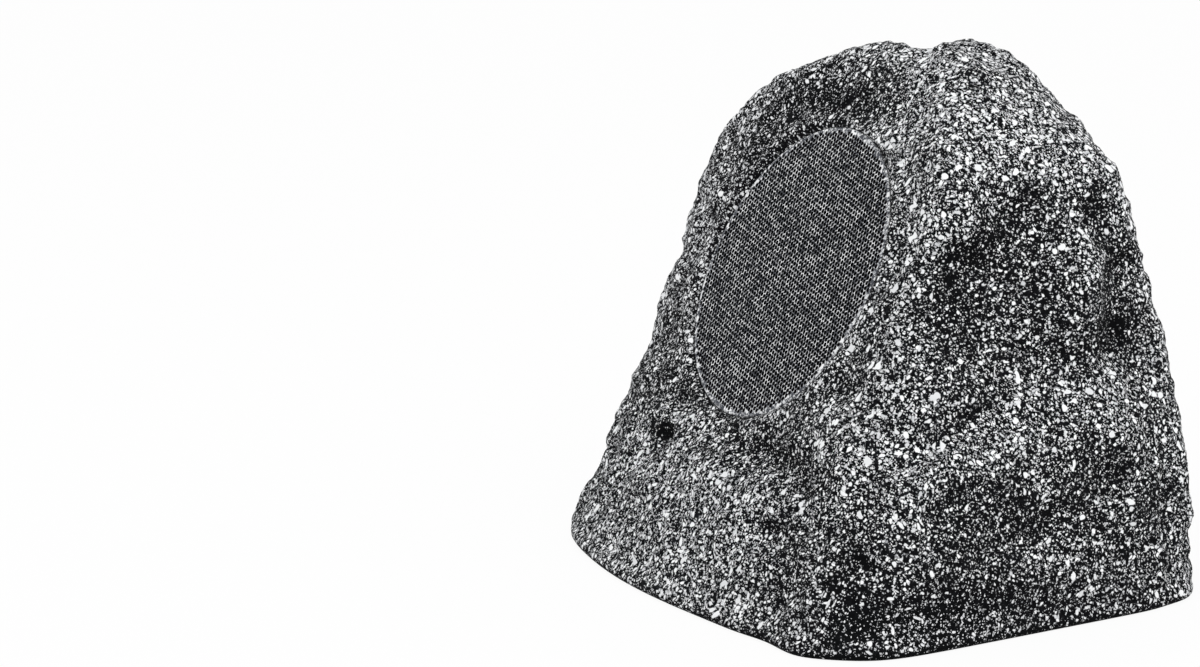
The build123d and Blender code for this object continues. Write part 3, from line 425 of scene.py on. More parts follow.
def mixed(tree, share, one, other):
    """Two colours mixed by a share."""
    return add(tree, "ShaderNodeMix", {0: share, 6: one, 7: other}, data_type="RGBA").outputs[2]


def noise(tree, coords, size, detail, roughness=0.55, output=0):
    """Noise whose features are about one size across."""
    inputs = {"Vector": coords, "Scale": 1.0 / size, "Detail": detail, "Roughness": roughness}
    return add(tree, "ShaderNodeTexNoise", inputs).outputs[output]


def raised(tree, height, strength, distance):
    """A normal bent by a height."""
    return first(tree, "ShaderNodeBump", {"Height": height, "Strength": strength, "Distance": distance})


def tinted(colour, share):
    """A colour made darker or paler by a share."""
    return tuple(min(1.0, channel * share) for channel in colour[:3]) + (1.0,)


def new_material(slot):
    """A material for a slot, with its surface shader and the piece's own coordinates."""
    material = bpy.data.materials.new(slot + FINISH)
    material.use_nodes = True
    tree = material.node_tree
    shader = tree.nodes["Principled BSDF"]
    coords = add(tree, "ShaderNodeTexCoord").outputs["Object"]
    return material, tree, shader, coords


def fleck_layer(tree, coords, size, limits, painted_shrink):
    """Share covered by one size of fleck, drawn out this way and that, and a random value for each fleck."""
    least, most, edge = limits
    shifted = coords
    for feature, amount in FLECK_WARPS:
        waver = noise(tree, coords, size * feature, 0.0, output="Color")
        centred = first(tree, "ShaderNodeVectorMath", {0: waver, 1: (0.5, 0.5, 0.5)}, operation="SUBTRACT")
        inputs = {0: centred, 1: (size * amount,) * 3, 2: shifted}
        shifted = first(tree, "ShaderNodeVectorMath", inputs, operation="MULTIPLY_ADD")
    cells = add(tree, "ShaderNodeTexVoronoi", {"Vector": shifted, "Scale": 1.0 / size})
    chance = add(tree, "ShaderNodeSeparateColor", {0: cells.outputs["Color"]})
    # The flecks shrink by an amount set by the painted light and shade
    reach = maths(tree, "SUBTRACT", span(tree, chance.outputs[0], 0.0, 1.0, least, most), painted_shrink)
    cover = span(tree, maths(tree, "SUBTRACT", reach, cells.outputs["Distance"]), -edge, edge)
    return cover, chance.outputs[1]


def flecked(slot, finish, roughness, bump, mark, under, ground=1.0, shrink=ROCK_SHRINK):
    """The speckled finish: charcoal, strewn with coarse, middling and fine pale flecks, where a mark is set; the
    flecks grow and the dust pales with the painted light, as painted light and shade.
    """
    material, tree, shader, coords = new_material(slot)
    # Painted light and shade: the attribute read here makes the flecks larger where the light falls and smaller in
    # the hollows
    spray = add(tree, "ShaderNodeAttribute", attribute_name="spray").outputs["Fac"]
    painted_shrink = span(tree, spray, 0.0, 1.0, *shrink)
    middle_size = math.sqrt(finish.coarse * finish.fine)
    coarse, coarse_tone = fleck_layer(tree, coords, finish.coarse, COARSE_REACH, painted_shrink)
    middle, middle_tone = fleck_layer(tree, coords, middle_size, MIDDLE_REACH, painted_shrink)
    fine, fine_tone = fleck_layer(tree, coords, finish.fine, FINE_REACH, painted_shrink)
    patch = span(tree, noise(tree, coords, PATCH_SIZE, 2.0), 0.3, 0.7, 0.6, 1.0)
    fine = maths(tree, "MULTIPLY", fine, patch)
    dust_and_painted_light = span(tree, noise(tree, coords, DUST_SIZE, 4.0, roughness=0.7), 0.45, 0.75)
    # The dust is held back where the painted shade is and pales with the painted light
    dust_and_painted_light = maths(tree, "MULTIPLY", dust_and_painted_light, span(tree, spray, 0.2, 1.0))
    colour = mixed(tree, dust_and_painted_light, tinted(finish.charcoal, ground), tinted(finish.charcoal, DUST_PALENESS * ground))
    layers = ((fine, fine_tone), (middle, middle_tone), (coarse, coarse_tone))
    for (cover, tone), least in zip(layers, FLECK_SHARES):
        share = span(tree, tone, 0.0, 0.8, least, 1.0)
        colour = mixed(tree, cover, colour, mixed(tree, share, tuple(finish.grey), tuple(finish.pale)))
    marked = add(tree, "ShaderNodeAttribute", attribute_name=mark).outputs["Fac"]
    grain = noise(tree, coords, GRAIN_SIZE, 4.0, roughness=0.65)
    height = maths(tree, "MULTIPLY_ADD", coarse, 0.5, maths(tree, "MULTIPLY_ADD", middle, 0.35, grain))
    look = {
        "Base Color": mixed(tree, marked, under, colour),
        "Roughness": span(tree, coarse, 0.0, 1.0, roughness, roughness - FLECK_GLOSS),
        "Specular IOR Level": PAINT_SPECULAR,
        "Normal": raised(tree, height, bump, FLECK_HEIGHT),
    }
    feed(tree, shader, look)
    return material


def grained(slot, colour, roughness, metallic=0.0, size=0.002, spread=0.25, bump=0.15, specular=0.5):
    """A finish with a fine grain in its colour, gloss and height."""
    material, tree, shader, coords = new_material(slot)
    grain = noise(tree, coords, size, 4.0)
    cloud = noise(tree, coords, size * 14, 2.0)
    share = span(tree, maths(tree, "ADD", grain, cloud), 0.7, 1.3)
    look = {
        "Base Color": mixed(tree, share, tinted(colour, 1 - spread), tinted(colour, 1 + spread)),
        "Roughness": span(tree, grain, 0.3, 0.7, roughness - 0.07, roughness + 0.07),
        "Metallic": metallic,
        "Specular IOR Level": specular,
        "Normal": raised(tree, grain, bump, GRAIN_HEIGHT),
    }
    feed(tree, shader, look)
    return material


def woven(slot, colour, pitch, roughness=0.9):
    """A cloth: two crossed sets of threads."""
    material, tree, shader, coords = new_material(slot)
    threads = []
    for axis in ("X", "Z"):
        inputs = {"Vector": coords, "Scale": 1.0 / pitch / math.tau * 2.0, "Distortion": 0.4, "Detail": 1.0}
        threads.append(add(tree, "ShaderNodeTexWave", inputs, bands_direction=axis).outputs["Fac"])
    weave = maths(tree, "MULTIPLY", *threads)
    look = {
        "Base Color": mixed(tree, weave, tinted(colour, 0.55), tinted(colour, 1.0)),
        "Roughness": roughness,
        "Specular IOR Level": 0.05,
        "Normal": raised(tree, weave, 0.4, GRAIN_HEIGHT),
    }
    feed(tree, shader, look)
    return material


def wound(slot, colour):
    """Enamelled wire in close turns."""
    material, tree, shader, coords = new_material(slot)
    inputs = {"Vector": coords, "Scale": 220.0, "Distortion": 0.3}
    turns = add(tree, "ShaderNodeTexWave", inputs, bands_direction="Z").outputs["Fac"]
    look = {
        "Base Color": mixed(tree, turns, tinted(colour, 0.4), tinted(colour, 1.0)),
        "Roughness": 0.34,
        "Metallic": 0.8,
        "Normal": raised(tree, turns, 0.5, WIRE_HEIGHT),
    }
    feed(tree, shader, look)
    return material


def soft_least(values, softness):
    """The least of some lengths, with the change from one to the next rounded."""
    least = values.min(axis=0)
    return least - softness * np.log(np.exp((least - values) / softness).sum(axis=0))


def rock_axis(height):
    """The middle of the rock in plan at a height."""
    return SUMMIT_SHIFT[0] * height / ROCK_HEIGHT, SUMMIT_SHIFT[1] * height / ROCK_HEIGHT


def facet_reach(bearing, height, facets):
    """How far a lobe of faces reaches from the rock's axis along a bearing in radians."""
    centre_x, centre_y = rock_axis(height)
    reaches = []
    for facet_bearing, reach, level, lean in facets:
        turn = math.radians(facet_bearing)
        slant = np.cos(bearing - turn)
        inset = centre_x * math.sin(turn) - centre_y * math.cos(turn)
        distance = reach - (height - level) * math.tan(math.radians(lean)) - inset
        reaches.append(np.where(slant > LEAST_SLANT, distance / np.maximum(slant, LEAST_SLANT), FAR))
    return soft_least(np.array(reaches), RIDGE_SOFTNESS)


def way_round(bearing, start):
    """How far round one bearing lies from another, within half a turn either way."""
    return np.remainder(bearing - start + math.pi, math.tau) - math.pi


def uneven(index, salt):
    """A value between -1 and 1 that follows no order from one index to the next."""
    return math.sin(salt * (index + 1) ** 2)


def chip_relief(bearing, height, reach):
    """How far the skin stands out at a spot: the small planes of the chips round it, blended."""
    slope = math.tan(math.radians(CHIP_TILT))
    total = relief = 0.0
    for index in range(CHIP_COUNT):
        level = ROCK_HEIGHT * (index + 0.5) / CHIP_COUNT + CHIP_SCATTER * uneven(index, 1.7)
        across, along = way_round(bearing, index * GOLDEN_TURN) * reach, height - level
        weight = np.exp(-(across**2 + along**2) / CHIP_BLEND**2)
        plane = uneven(index, 4.3) * across + uneven(index, 5.9) * along
        total = total + weight
        relief = relief + weight * (CHIP_STEP * uneven(index, 2.9) + slope * plane)
    return relief / total


def skin_freedom(bearing, height, reach):
    """How freely the skin is chipped at a spot: not at all by the foot, the grille and the cable entry."""
    centre_x, centre_y = rock_axis(height)
    spot = np.stack([centre_x + reach * np.sin(bearing), centre_y - reach * np.cos(bearing), height])
    grille_gap = np.linalg.norm(spot.T - GRILLE_CENTRE, axis=1) - RECESS_RADIUS - POCKET_WALL
    turn = np.remainder(bearing, math.tau) - math.pi
    entry_gap = np.hypot(turn * reach, height - CABLE_HEIGHT) - 2 * ENTRY_SPOT_RADIUS
    freedom = 1.0
    for gap in (grille_gap, entry_gap, height - FLANGE_TOP):
        freedom = freedom * smooth_step(gap, 0.0, CALM_WIDTH)
    return freedom


def rock_reach(bearing, height, hollows):
    """The rock's outer radius from its axis along a bearing in radians, at a height."""
    lobes = np.array([facet_reach(bearing, height, facets) for facets in (CROWN, PLINTH, SUMMIT)])
    reach = -soft_least(-lobes, LEDGE_SOFTNESS)
    for hollow_bearing, level, half_width, above, below, depth in hollows:
        across = way_round(bearing, math.radians(hollow_bearing)) * reach / half_width
        along = (height - level) / np.where(height > level, above, below)
        reach = reach - depth * np.exp(-(across**2) - along**2)
    reach = reach + skin_freedom(bearing, height, reach) * chip_relief(bearing, height, reach)
    crest = np.maximum(0.0, 1 - (ROCK_HEIGHT - height) / SUMMIT_ROUND) * SUMMIT_CLOSURE
    return reach * np.sqrt(1 - crest**2)


def ring(height, inset=0.0, hollows=HOLLOWS):
    """Radii round the rock at a height, set in from its skin."""
    step = math.tau / BEARINGS
    reach = rock_reach(np.arange(BEARINGS) * step, np.full(BEARINGS, float(height)), hollows)
    swing = (np.roll(reach, -1) - np.roll(reach, 1)) / (2 * step)
    return reach - inset * np.hypot(1, swing / reach)


def ring_points(reach, height, level):
    """Points of one ring about the rock's axis at a height, laid at a level."""
    bearing = np.arange(BEARINGS) * math.tau / BEARINGS
    centre_x, centre_y = rock_axis(height)
    x = centre_x + reach * np.sin(bearing)
    y = centre_y - reach * np.cos(bearing)
    return np.stack([x, y, np.broadcast_to(level, x.shape)], axis=1)


def shell_rings():
    """Rings of the whole shell: over the summit, down the skin, round the foot and up inside."""
    full = HOLLOWS + BREAKS
    rings = []
    top = ring(ROCK_HEIGHT, hollows=full)
    for index in range(1, CAP_RINGS):
        share = index / CAP_RINGS
        rings.append(ring_points(top * share, ROCK_HEIGHT, ROCK_HEIGHT + CAP_RISE * (1 - share**2)))
    close = np.linspace(ROCK_HEIGHT, ROCK_HEIGHT - CLOSE_DEPTH, CLOSE_ROWS)
    rows = int((close[-1] - FOOT_ROUND_HEIGHT) / ROW_STEP)
    for height in [*close, *np.linspace(close[-1], FOOT_ROUND_HEIGHT, rows)[1:]]:
        rings.append(ring_points(ring(height, hollows=full), height, height))
    for turn in FOOT_TURNS:
        sweep = turn * math.pi / 2
        inset = FOOT_ROUND_WIDTH * (1 - math.cos(sweep))
        level = FOOT_ROUND_HEIGHT * (1 - math.sin(sweep))
        rings.append(ring_points(ring(FOOT_ROUND_HEIGHT, inset, full), FOOT_ROUND_HEIGHT, level))
    skin_rings = len(rings)
    rim, opening = ring(FLANGE_BOTTOM, RIM_WALL), ring(FLANGE_BOTTOM, RIM_WALL + FLANGE_WIDTH)
    for reach, level in ((rim, 0.0), (rim, FLANGE_BOTTOM), (opening, FLANGE_BOTTOM), (opening, FLANGE_TOP)):
        rings.append(ring_points(reach, FLANGE_BOTTOM, level))
    for level in np.linspace(FLANGE_TOP, ROCK_HEIGHT - SUMMIT_ROUND - WALL, CAVITY_ROWS):
        reach = np.minimum(ring(level, CAVITY_INSET, full), ring(level + WALL, CAVITY_INSET, full))
        rings.append(ring_points(reach, level, level))
    return np.array(rings), skin_rings


def smooth_step(value, low, high):
    """A share that eases from 0 at low to 1 at high."""
    share = np.clip((value - low) / (high - low), 0.0, 1.0)
    return share * share * (3 - 2 * share)


def grille_place():
    """The frame of the grille's front: X along its level line, Y up the face, Z out of it."""
    lean, yaw = math.radians(FACE_LEAN), math.radians(FACE_BEARING)
    out = Vector((math.sin(yaw) * math.cos(lean), -math.cos(yaw) * math.cos(lean), math.sin(lean)))
    level = Vector((math.cos(yaw), math.sin(yaw), 0.0))
    turn = Matrix((level, out.cross(level), out)).transposed()
    return Matrix.Translation(GRILLE_CENTRE) @ turn.to_4x4()


def entry_place():
    """The frame of the cable's flat spot: Z out of the back."""
    centre_x, centre_y = rock_axis(CABLE_HEIGHT)
    back = rock_reach(np.array([math.pi]), np.array([CABLE_HEIGHT]), HOLLOWS)[0]
    face = centre_y + back - ENTRY_SPOT_DEPTH
    turn = Matrix(((-1, 0, 0), (0, 0, 1), (0, 1, 0))).transposed()
    return Matrix.Translation((centre_x, face, CABLE_HEIGHT)) @ turn.to_4x4()


def carried(points, place):
    """Points of a place's frame, in the rock's frame, or the other way round with its inverse."""
    out = np.array(place)
    return points @ out[:3, :3].T + out[:3, 3]


def seat_skin(points):
    """Lower the skin onto the flare round the grille and the flat spot at the cable, and raise the knobs."""
    for x, y, half_width, rise in SUMMIT_KNOBS:
        near = np.exp(-((points[..., 0] - x) ** 2 + (points[..., 1] - y) ** 2) / half_width**2)
        points[..., 2] += rise * near * smooth_step(points[..., 2], *KNOB_LEVELS)
    place = grille_place()
    local = carried(points, place.inverted())
    radius = np.hypot(local[..., 0], local[..., 1])
    flare = np.maximum(radius - RECESS_RADIUS, 0.0)
    lowered = soft_least(np.array([local[..., 2], flare]), FACE_SOFTNESS)
    front = (local[..., 2] > -FACE_DEPTH) & (radius < RECESS_RADIUS + FLARE_WIDTH)
    local[..., 2] = np.where(front, np.minimum(local[..., 2], lowered), local[..., 2])
    points = carried(local, place)
    ahead = local[..., 2] > -FACE_DEPTH
    relief = smooth_step(np.where(ahead, radius, FAR), *(RECESS_RADIUS + calm for calm in FACE_CALM))
    place = entry_place()
    local = carried(points, place.inverted())
    radius = np.hypot(local[..., 0], local[..., 1])
    back = local[..., 2] > -BOSS_DEPTH
    spot = np.maximum(radius - ENTRY_SPOT_RADIUS, 0.0) * ENTRY_SPOT_SLOPE
    local[..., 2] = np.where(back, np.minimum(local[..., 2], spot), local[..., 2])
    points = carried(local, place)
    relief *= smooth_step(np.where(back, radius, FAR), *(ENTRY_SPOT_RADIUS + calm for calm in ENTRY_CALM))
    relief *= smooth_step(points[..., 2], *FOOT_CALM)
    return points, relief


def painted_light_cover(points):
    """Painted light and shade: how thickly the flecks lie on each point, most where it faces the light, least in the
    hollows, more or less in the listed patches.
    """
    round_way = np.roll(points, -1, axis=1) - np.roll(points, 1, axis=1)
    normal = np.cross(np.gradient(points, axis=0), round_way)
    normal /= np.maximum(np.linalg.norm(normal, axis=2, keepdims=True), 1e-9)
    turn, rise = math.radians(PAINTED_LIGHT_BEARING), math.radians(PAINTED_LIGHT_RISE)
    way = (math.sin(turn) * math.cos(rise), -math.cos(turn) * math.cos(rise), math.sin(rise))
    facing = normal @ np.array(way)
    centre_x, centre_y = rock_axis(points[..., 2])
    depth = np.hypot(points[..., 0] - centre_x, points[..., 1] - centre_y)
    reach = PAINTED_SHADE_SPAN[-1]
    padded = np.pad(depth, ((reach, reach), (0, 0)), mode="edge")
    rows = len(depth)
    near = [np.roll(padded, across, 1)[reach + up : reach + up + rows] for across in PAINTED_SHADE_SPAN for up in PAINTED_SHADE_SPAN]
    sunk = np.mean(near, axis=0) - depth
    # Painted shade in the hollows, and painted light where a point faces the light
    cover = PAINTED_LIGHT_LEAST + (1 - PAINTED_LIGHT_LEAST) * smooth_step(facing - PAINTED_HOLLOW_SHADE * sunk, *PAINTED_LIGHT_FACING)
    bearing = np.arctan2(points[..., 0] - centre_x, centre_y - points[..., 1])
    # Patches of painted highlight and painted shade
    for patch, height, half_width, half_height, amount in PAINTED_LIGHT_PATCHES:
        across = way_round(bearing, math.radians(patch))
        along = (points[..., 2] - height) / half_height
        cover = cover + amount * np.exp(-((across * depth / half_width) ** 2) - along**2)
    return np.clip(cover, 0.0, 1.0)


def polar(reach, turn, level):
    """The point at a reach and a turn about Z, at a level."""
    return Vector((reach * math.cos(turn), reach * math.sin(turn), level))


def open_round(mesh, skin, place, radius, depth, profile):
    """Cut a round opening through the skin and line it with a turned wall."""
    back = place.inverted()
    inside = set()
    for vert in mesh.verts:
        spot = back @ vert.co
        if vert[skin] > 0.5 and abs(spot.z) < depth and math.hypot(spot.x, spot.y) < radius:
            inside.add(vert)
    doomed = [face for face in mesh.faces if all(vert in inside for vert in face.verts)]
    bmesh.ops.delete(mesh, geom=doomed, context="FACES")
    rim = {vert for vert in inside if vert.is_valid}
    for vert in rim:
        spot = back @ vert.co
        vert.co = place @ polar(radius, math.atan2(spot.y, spot.x), 0.0)
    loop = [edge for edge in mesh.edges if edge.is_boundary and edge.verts[0] in rim and edge.verts[1] in rim]
    for reach, level in profile:
        grown = bmesh.ops.extrude_edge_only(mesh, edges=loop)["geom"]
        fresh = {item for item in grown if isinstance(item, bmesh.types.BMVert)}
        for vert in fresh:
            spot = back @ vert.co
            vert.co = place @ polar(reach, math.atan2(spot.y, spot.x), level)
            vert[skin] = 0.0
        edges = [item for item in grown if isinstance(item, bmesh.types.BMEdge)]
        loop = [edge for edge in edges if edge.verts[0] in fresh and edge.verts[1] in fresh]


def clear_behind(mesh, skin, place, reach, depth):
    """Take away the inner wall where an opening's lining passes through it."""
    back = place.inverted()
    doomed = []
    for face in mesh.faces:
        spot = back @ face.calc_center_median()
        if max(vert[skin] for vert in face.verts) < 0.5 and spot.z > -depth and math.hypot(spot.x, spot.y) < reach:
            doomed.append(face)
    bmesh.ops.delete(mesh, geom=doomed, context="FACES")


def rock_mesh():
    """The shell before its relief: fine outside, plain inside, with its openings lined."""
    rings, skin_rings = shell_rings()
    outer, relief = seat_skin(rings[:skin_rings])
    points = np.concatenate([outer, rings[skin_rings:]])
    centre_x, centre_y = rock_axis(ROCK_HEIGHT)
    mesh = bmesh.new()
    skin_layer = mesh.verts.layers.float.new("skin")
    relief_layer = mesh.verts.layers.float.new("relief")
    # A layer of painted light and shade: how thickly the flecks lie, from facing the light, the hollows and the
    # patches
    painted_light_layer = mesh.verts.layers.float.new("spray")
    spray = painted_light_cover(outer)
    grid = []
    for index, row in enumerate(points):
        made = [mesh.verts.new(point) for point in row]
        if index < skin_rings:
            for vert, share, cover in zip(made, relief[index], spray[index]):
                vert[skin_layer] = 1.0
                vert[relief_layer] = share
                vert[painted_light_layer] = cover
        grid.append(made)
    pole = mesh.verts.new((centre_x, centre_y, points[0, :, 2].mean() + POLE_RISE))
    pole[skin_layer] = 1.0
    pole[relief_layer] = 1.0
    pole[painted_light_layer] = spray[0].mean()
    roof = mesh.verts.new(points[-1].mean(axis=0))
    for index in range(BEARINGS):
        after = (index + 1) % BEARINGS
        mesh.faces.new((pole, grid[0][index], grid[0][after]))
        for upper, lower in zip(grid, grid[1:]):
            mesh.faces.new((upper[index], lower[index], lower[after], upper[after]))
        mesh.faces.new((grid[-1][index], roof, grid[-1][after]))
    boss = ((ENTRY_RADIUS, -ENTRY_BOSS_LENGTH), (ENTRY_SPOT_RADIUS, -ENTRY_BOSS_LENGTH))
    openings = (
        (grille_place(), RECESS_RADIUS, POCKET_PROFILE, FACE_DEPTH, POCKET_DEPTH),
        (entry_place(), ENTRY_RADIUS, boss, ENTRY_DEPTH, BOSS_DEPTH),
    )
    for place, radius, profile, depth, behind in openings:
        clear_behind(mesh, skin_layer, place, profile[-1][0], behind)
        open_round(mesh, skin_layer, place, radius, depth, profile)
        bmesh.ops.bridge_loops(mesh, edges=[edge for edge in mesh.edges if edge.is_boundary])
    bmesh.ops.scale(mesh, vec=(MM, MM, MM), verts=mesh.verts)
    bmesh.ops.recalc_face_normals(mesh, faces=mesh.faces)
    return mesh


def new_piece(name, mesh):
    """An object at the origin from a bmesh, which is freed."""
    data = bpy.data.meshes.new(name)
    mesh.to_mesh(data)
    mesh.free()
    piece = bpy.data.objects.new(name, data)
    bpy.context.scene.collection.objects.link(piece)
    return piece


def node_tree(name, lengths, counts=()):
    """A Geometry Nodes tree with named inputs and a material, and the sockets that bring them in."""
    tree = bpy.data.node_groups.new(name, "GeometryNodeTree")
    sockets = (("Geometry", ("Geometry",)), ("Float", lengths), ("Int", counts), ("Material", ("Material",)))
    for kind, labels in sockets:
        for label in labels:
            tree.interface.new_socket(label, in_out="INPUT", socket_type="NodeSocket" + kind)
    tree.interface.new_socket("Geometry", in_out="OUTPUT", socket_type="NodeSocketGeometry")
    return tree, add(tree, "NodeGroupInput").outputs


def close_tree(tree, start, geometry):
    """End a tree: real geometry with its material."""
    real = first(tree, "GeometryNodeRealizeInstances", {"Geometry": geometry})
    painted = add(tree, "GeometryNodeSetMaterial", {"Geometry": real, "Material": start["Material"]})
    add(tree, "NodeGroupOutput", {"Geometry": painted.outputs[0]})


def grow(piece, tree, values):
    """Run a tree on a piece and keep its result as the piece's plain mesh."""
    modifier = piece.modifiers.new(tree.name, "NODES")
    modifier.node_group = tree
    for item in tree.interface.items_tree:
        if item.in_out == "INPUT" and item.name in values:
            modifier[item.identifier] = values[item.name]
    graph = bpy.context.evaluated_depsgraph_get()
    made = bpy.data.meshes.new_from_object(
        piece.evaluated_get(graph), preserve_all_data_layers=True, depsgraph=graph
    )
    piece.modifiers.clear()
    spare, piece.data = piece.data, made
    bpy.data.meshes.remove(spare)
    made.name = piece.name
    made.materials.clear()
    made.materials.append(values["Material"])
    made.polygons.foreach_set("material_index", [0] * len(made.polygons))


def crag_tree():
    """Relief of broken rock, pushed along the normals where the skin is free."""
    lengths = ("Crag size", "Crag depth", "Chip size", "Chip depth", "Grain depth", "Seed")
    tree, start = node_tree("Crag relief", lengths)
    place = first(tree, "GeometryNodeInputPosition")

    def rough(size, detail, shift):
        """Noise about zero, of one feature size."""
        inputs = {
            "Vector": place,
            "W": maths(tree, "ADD", start["Seed"], shift),
            "Scale": maths(tree, "DIVIDE", 1.0, size),
            "Detail": detail,
            "Roughness": 0.5,
        }
        field = first(tree, "ShaderNodeTexNoise", inputs, noise_dimensions="4D")
        return maths(tree, "MULTIPLY", maths(tree, "SUBTRACT", field, 0.5), 2.0)

    crag = maths(tree, "MULTIPLY", rough(start["Crag size"], 2.0, 0.0), start["Crag depth"])
    crease = maths(tree, "ABSOLUTE", rough(start["Chip size"], 2.5, 7.0))
    crease = span(tree, crease, 0.0, 0.42, -1.0, 0.35)
    chip = maths(tree, "MULTIPLY", crease, start["Chip depth"])
    grain_size = maths(tree, "MULTIPLY", start["Chip size"], 0.3)
    grain = maths(tree, "MULTIPLY", rough(grain_size, 3.0, 13.0), start["Grain depth"])
    total = maths(tree, "ADD", crag, maths(tree, "ADD", chip, grain))
    free = first(tree, "GeometryNodeInputNamedAttribute", {"Name": "relief"}, data_type="FLOAT")
    amount = maths(tree, "MULTIPLY", total, free)
    inputs = {0: first(tree, "GeometryNodeInputNormal"), "Scale": amount}
    push = first(tree, "ShaderNodeVectorMath", inputs, operation="SCALE")
    moved = first(tree, "GeometryNodeSetPosition", {"Geometry": start["Geometry"], "Offset": push})
    soft = first(tree, "GeometryNodeSetShadeSmooth", {"Geometry": moved})
    close_tree(tree, start, soft)
    return tree


def hole_cell(pitch, radius, sheet):
    """One six-sided cell of the perforated sheet, with its round hole; its front is marked as web."""
    mesh = bmesh.new()
    web = mesh.faces.layers.float.new("web")
    outer, inner = [], []
    for level in (0.0, -sheet):
        corners, brink = {}, []
        for index in range(HOLE_SIDES):
            turn = math.tau * index / HOLE_SIDES
            brink.append(mesh.verts.new(polar(radius, turn, level)))
            if index % 2:
                corners[index] = mesh.verts.new(polar(pitch / math.sqrt(3), turn, level))
        outer.append(corners)
        inner.append(brink)
    for index in range(HOLE_SIDES):
        after = (index + 1) % HOLE_SIDES
        mesh.faces.new((inner[0][index], inner[0][after], inner[1][after], inner[1][index]))
        for side in (0, 1):
            corners, brink = outer[side], inner[side]
            if index % 2:
                faces = [(corners[index], brink[after], brink[index])]
            else:
                before = corners[(index - 1) % HOLE_SIDES]
                faces = [(corners[after], brink[after], brink[index]), (before, corners[after], brink[index])]
            for corner in faces:
                face = mesh.faces.new(corner if side == 0 else corner[::-1])
                face[web] = 1.0 - side
    return mesh


def perforation_tree():
    """A disc of staggered cells, with holes as far as the plain rim."""
    lengths = ("Disc radius", "Field radius", "Pitch", "Turn", "Sheet")
    tree, start = node_tree("Perforated sheet", lengths, ("Rows",))
    rows = start["Rows"]
    pitch = start["Pitch"]
    index = first(tree, "GeometryNodeInputIndex")
    row = maths(tree, "FLOOR", maths(tree, "DIVIDE", index, rows))
    column = maths(tree, "MODULO", index, rows)
    half = maths(tree, "MULTIPLY", rows, 0.5)
    stagger = maths(tree, "MULTIPLY", maths(tree, "MODULO", row, 2.0), 0.5)
    across = maths(tree, "MULTIPLY", maths(tree, "SUBTRACT", maths(tree, "ADD", column, stagger), half), pitch)
    up = maths(tree, "MULTIPLY", maths(tree, "SUBTRACT", row, half), pitch)
    up = maths(tree, "MULTIPLY", up, math.sqrt(3) / 2)
    flat = first(tree, "ShaderNodeCombineXYZ", {0: across, 1: up})
    inputs = {"Vector": flat, "Angle": start["Turn"]}
    spot = first(tree, "ShaderNodeVectorRotate", inputs, rotation_type="Z_AXIS")
    count = maths(tree, "MULTIPLY", rows, rows)
    points = first(tree, "GeometryNodePoints", {"Count": count, "Position": spot})
    place = first(tree, "GeometryNodeInputPosition")
    reach = add(tree, "ShaderNodeVectorMath", {0: place}, operation="LENGTH").outputs["Value"]
    brink = maths(tree, "MULTIPLY_ADD", pitch, 0.5, start["Disc radius"])
    beyond = first(tree, "FunctionNodeCompare", {0: reach, 1: brink}, operation="GREATER_THAN")
    points = first(tree, "GeometryNodeDeleteGeometry", {"Geometry": points, "Selection": beyond})
    inputs = {0: reach, 1: start["Field radius"]}
    holed = first(tree, "FunctionNodeCompare", inputs, operation="LESS_THAN")
    plain = first(tree, "FunctionNodeBooleanMath", {0: holed}, operation="NOT")
    corner = maths(tree, "DIVIDE", pitch, math.sqrt(3))
    blank = first(tree, "GeometryNodeMeshCircle", {"Vertices": 6, "Radius": corner}, fill_type="NGON")
    turn = (0.0, 0.0, math.pi / 6)
    front = first(tree, "GeometryNodeTransform", {"Geometry": blank, "Rotation": turn})
    inputs = {"Geometry": front, "Name": "web", "Value": 1.0}
    front = first(tree, "GeometryNodeStoreNamedAttribute", inputs, data_type="FLOAT", domain="FACE")
    drop = first(tree, "ShaderNodeCombineXYZ", {2: maths(tree, "MULTIPLY", start["Sheet"], -1.0)})
    back = first(tree, "GeometryNodeTransform", {"Geometry": front, "Translation": drop})
    back = first(tree, "GeometryNodeFlipFaces", {"Mesh": back})
    level = first(tree, "ShaderNodeCombineXYZ", {2: start["Turn"]})
    sheet = add(tree, "GeometryNodeJoinGeometry")
    for cell, chosen in ((start["Geometry"], holed), (front, plain), (back, plain)):
        inputs = {"Points": points, "Selection": chosen, "Instance": cell, "Rotation": level}
        laid = first(tree, "GeometryNodeInstanceOnPoints", inputs)
        tree.links.new(laid, sheet.inputs[0])
    flat = first(tree, "GeometryNodeRealizeInstances", {"Geometry": sheet.outputs[0]})
    shrink = maths(tree, "MINIMUM", maths(tree, "DIVIDE", start["Disc radius"], reach), 1.0)
    scale = first(tree, "ShaderNodeCombineXYZ", {0: shrink, 1: shrink, 2: 1.0})
    within = first(tree, "ShaderNodeVectorMath", {0: place, 1: scale}, operation="MULTIPLY")
    disc = first(tree, "GeometryNodeSetPosition", {"Geometry": flat, "Position": within})
    close_tree(tree, start, disc)
    return tree


def turned_rim(mesh, profile, sides):
    """A turned ring about Z from a closed profile of radius and level."""
    web = mesh.faces.layers.float["web"]
    rows = []
    for reach, level in profile:
        rows.append([mesh.verts.new(polar(reach, math.tau * index / sides, level)) for index in range(sides)])
    for upper, lower in zip(rows, rows[1:] + rows[:1]):
        for index in range(sides):
            after = (index + 1) % sides
            face = mesh.faces.new((upper[index], lower[index], lower[after], upper[after]))
            face[web] = 1.0


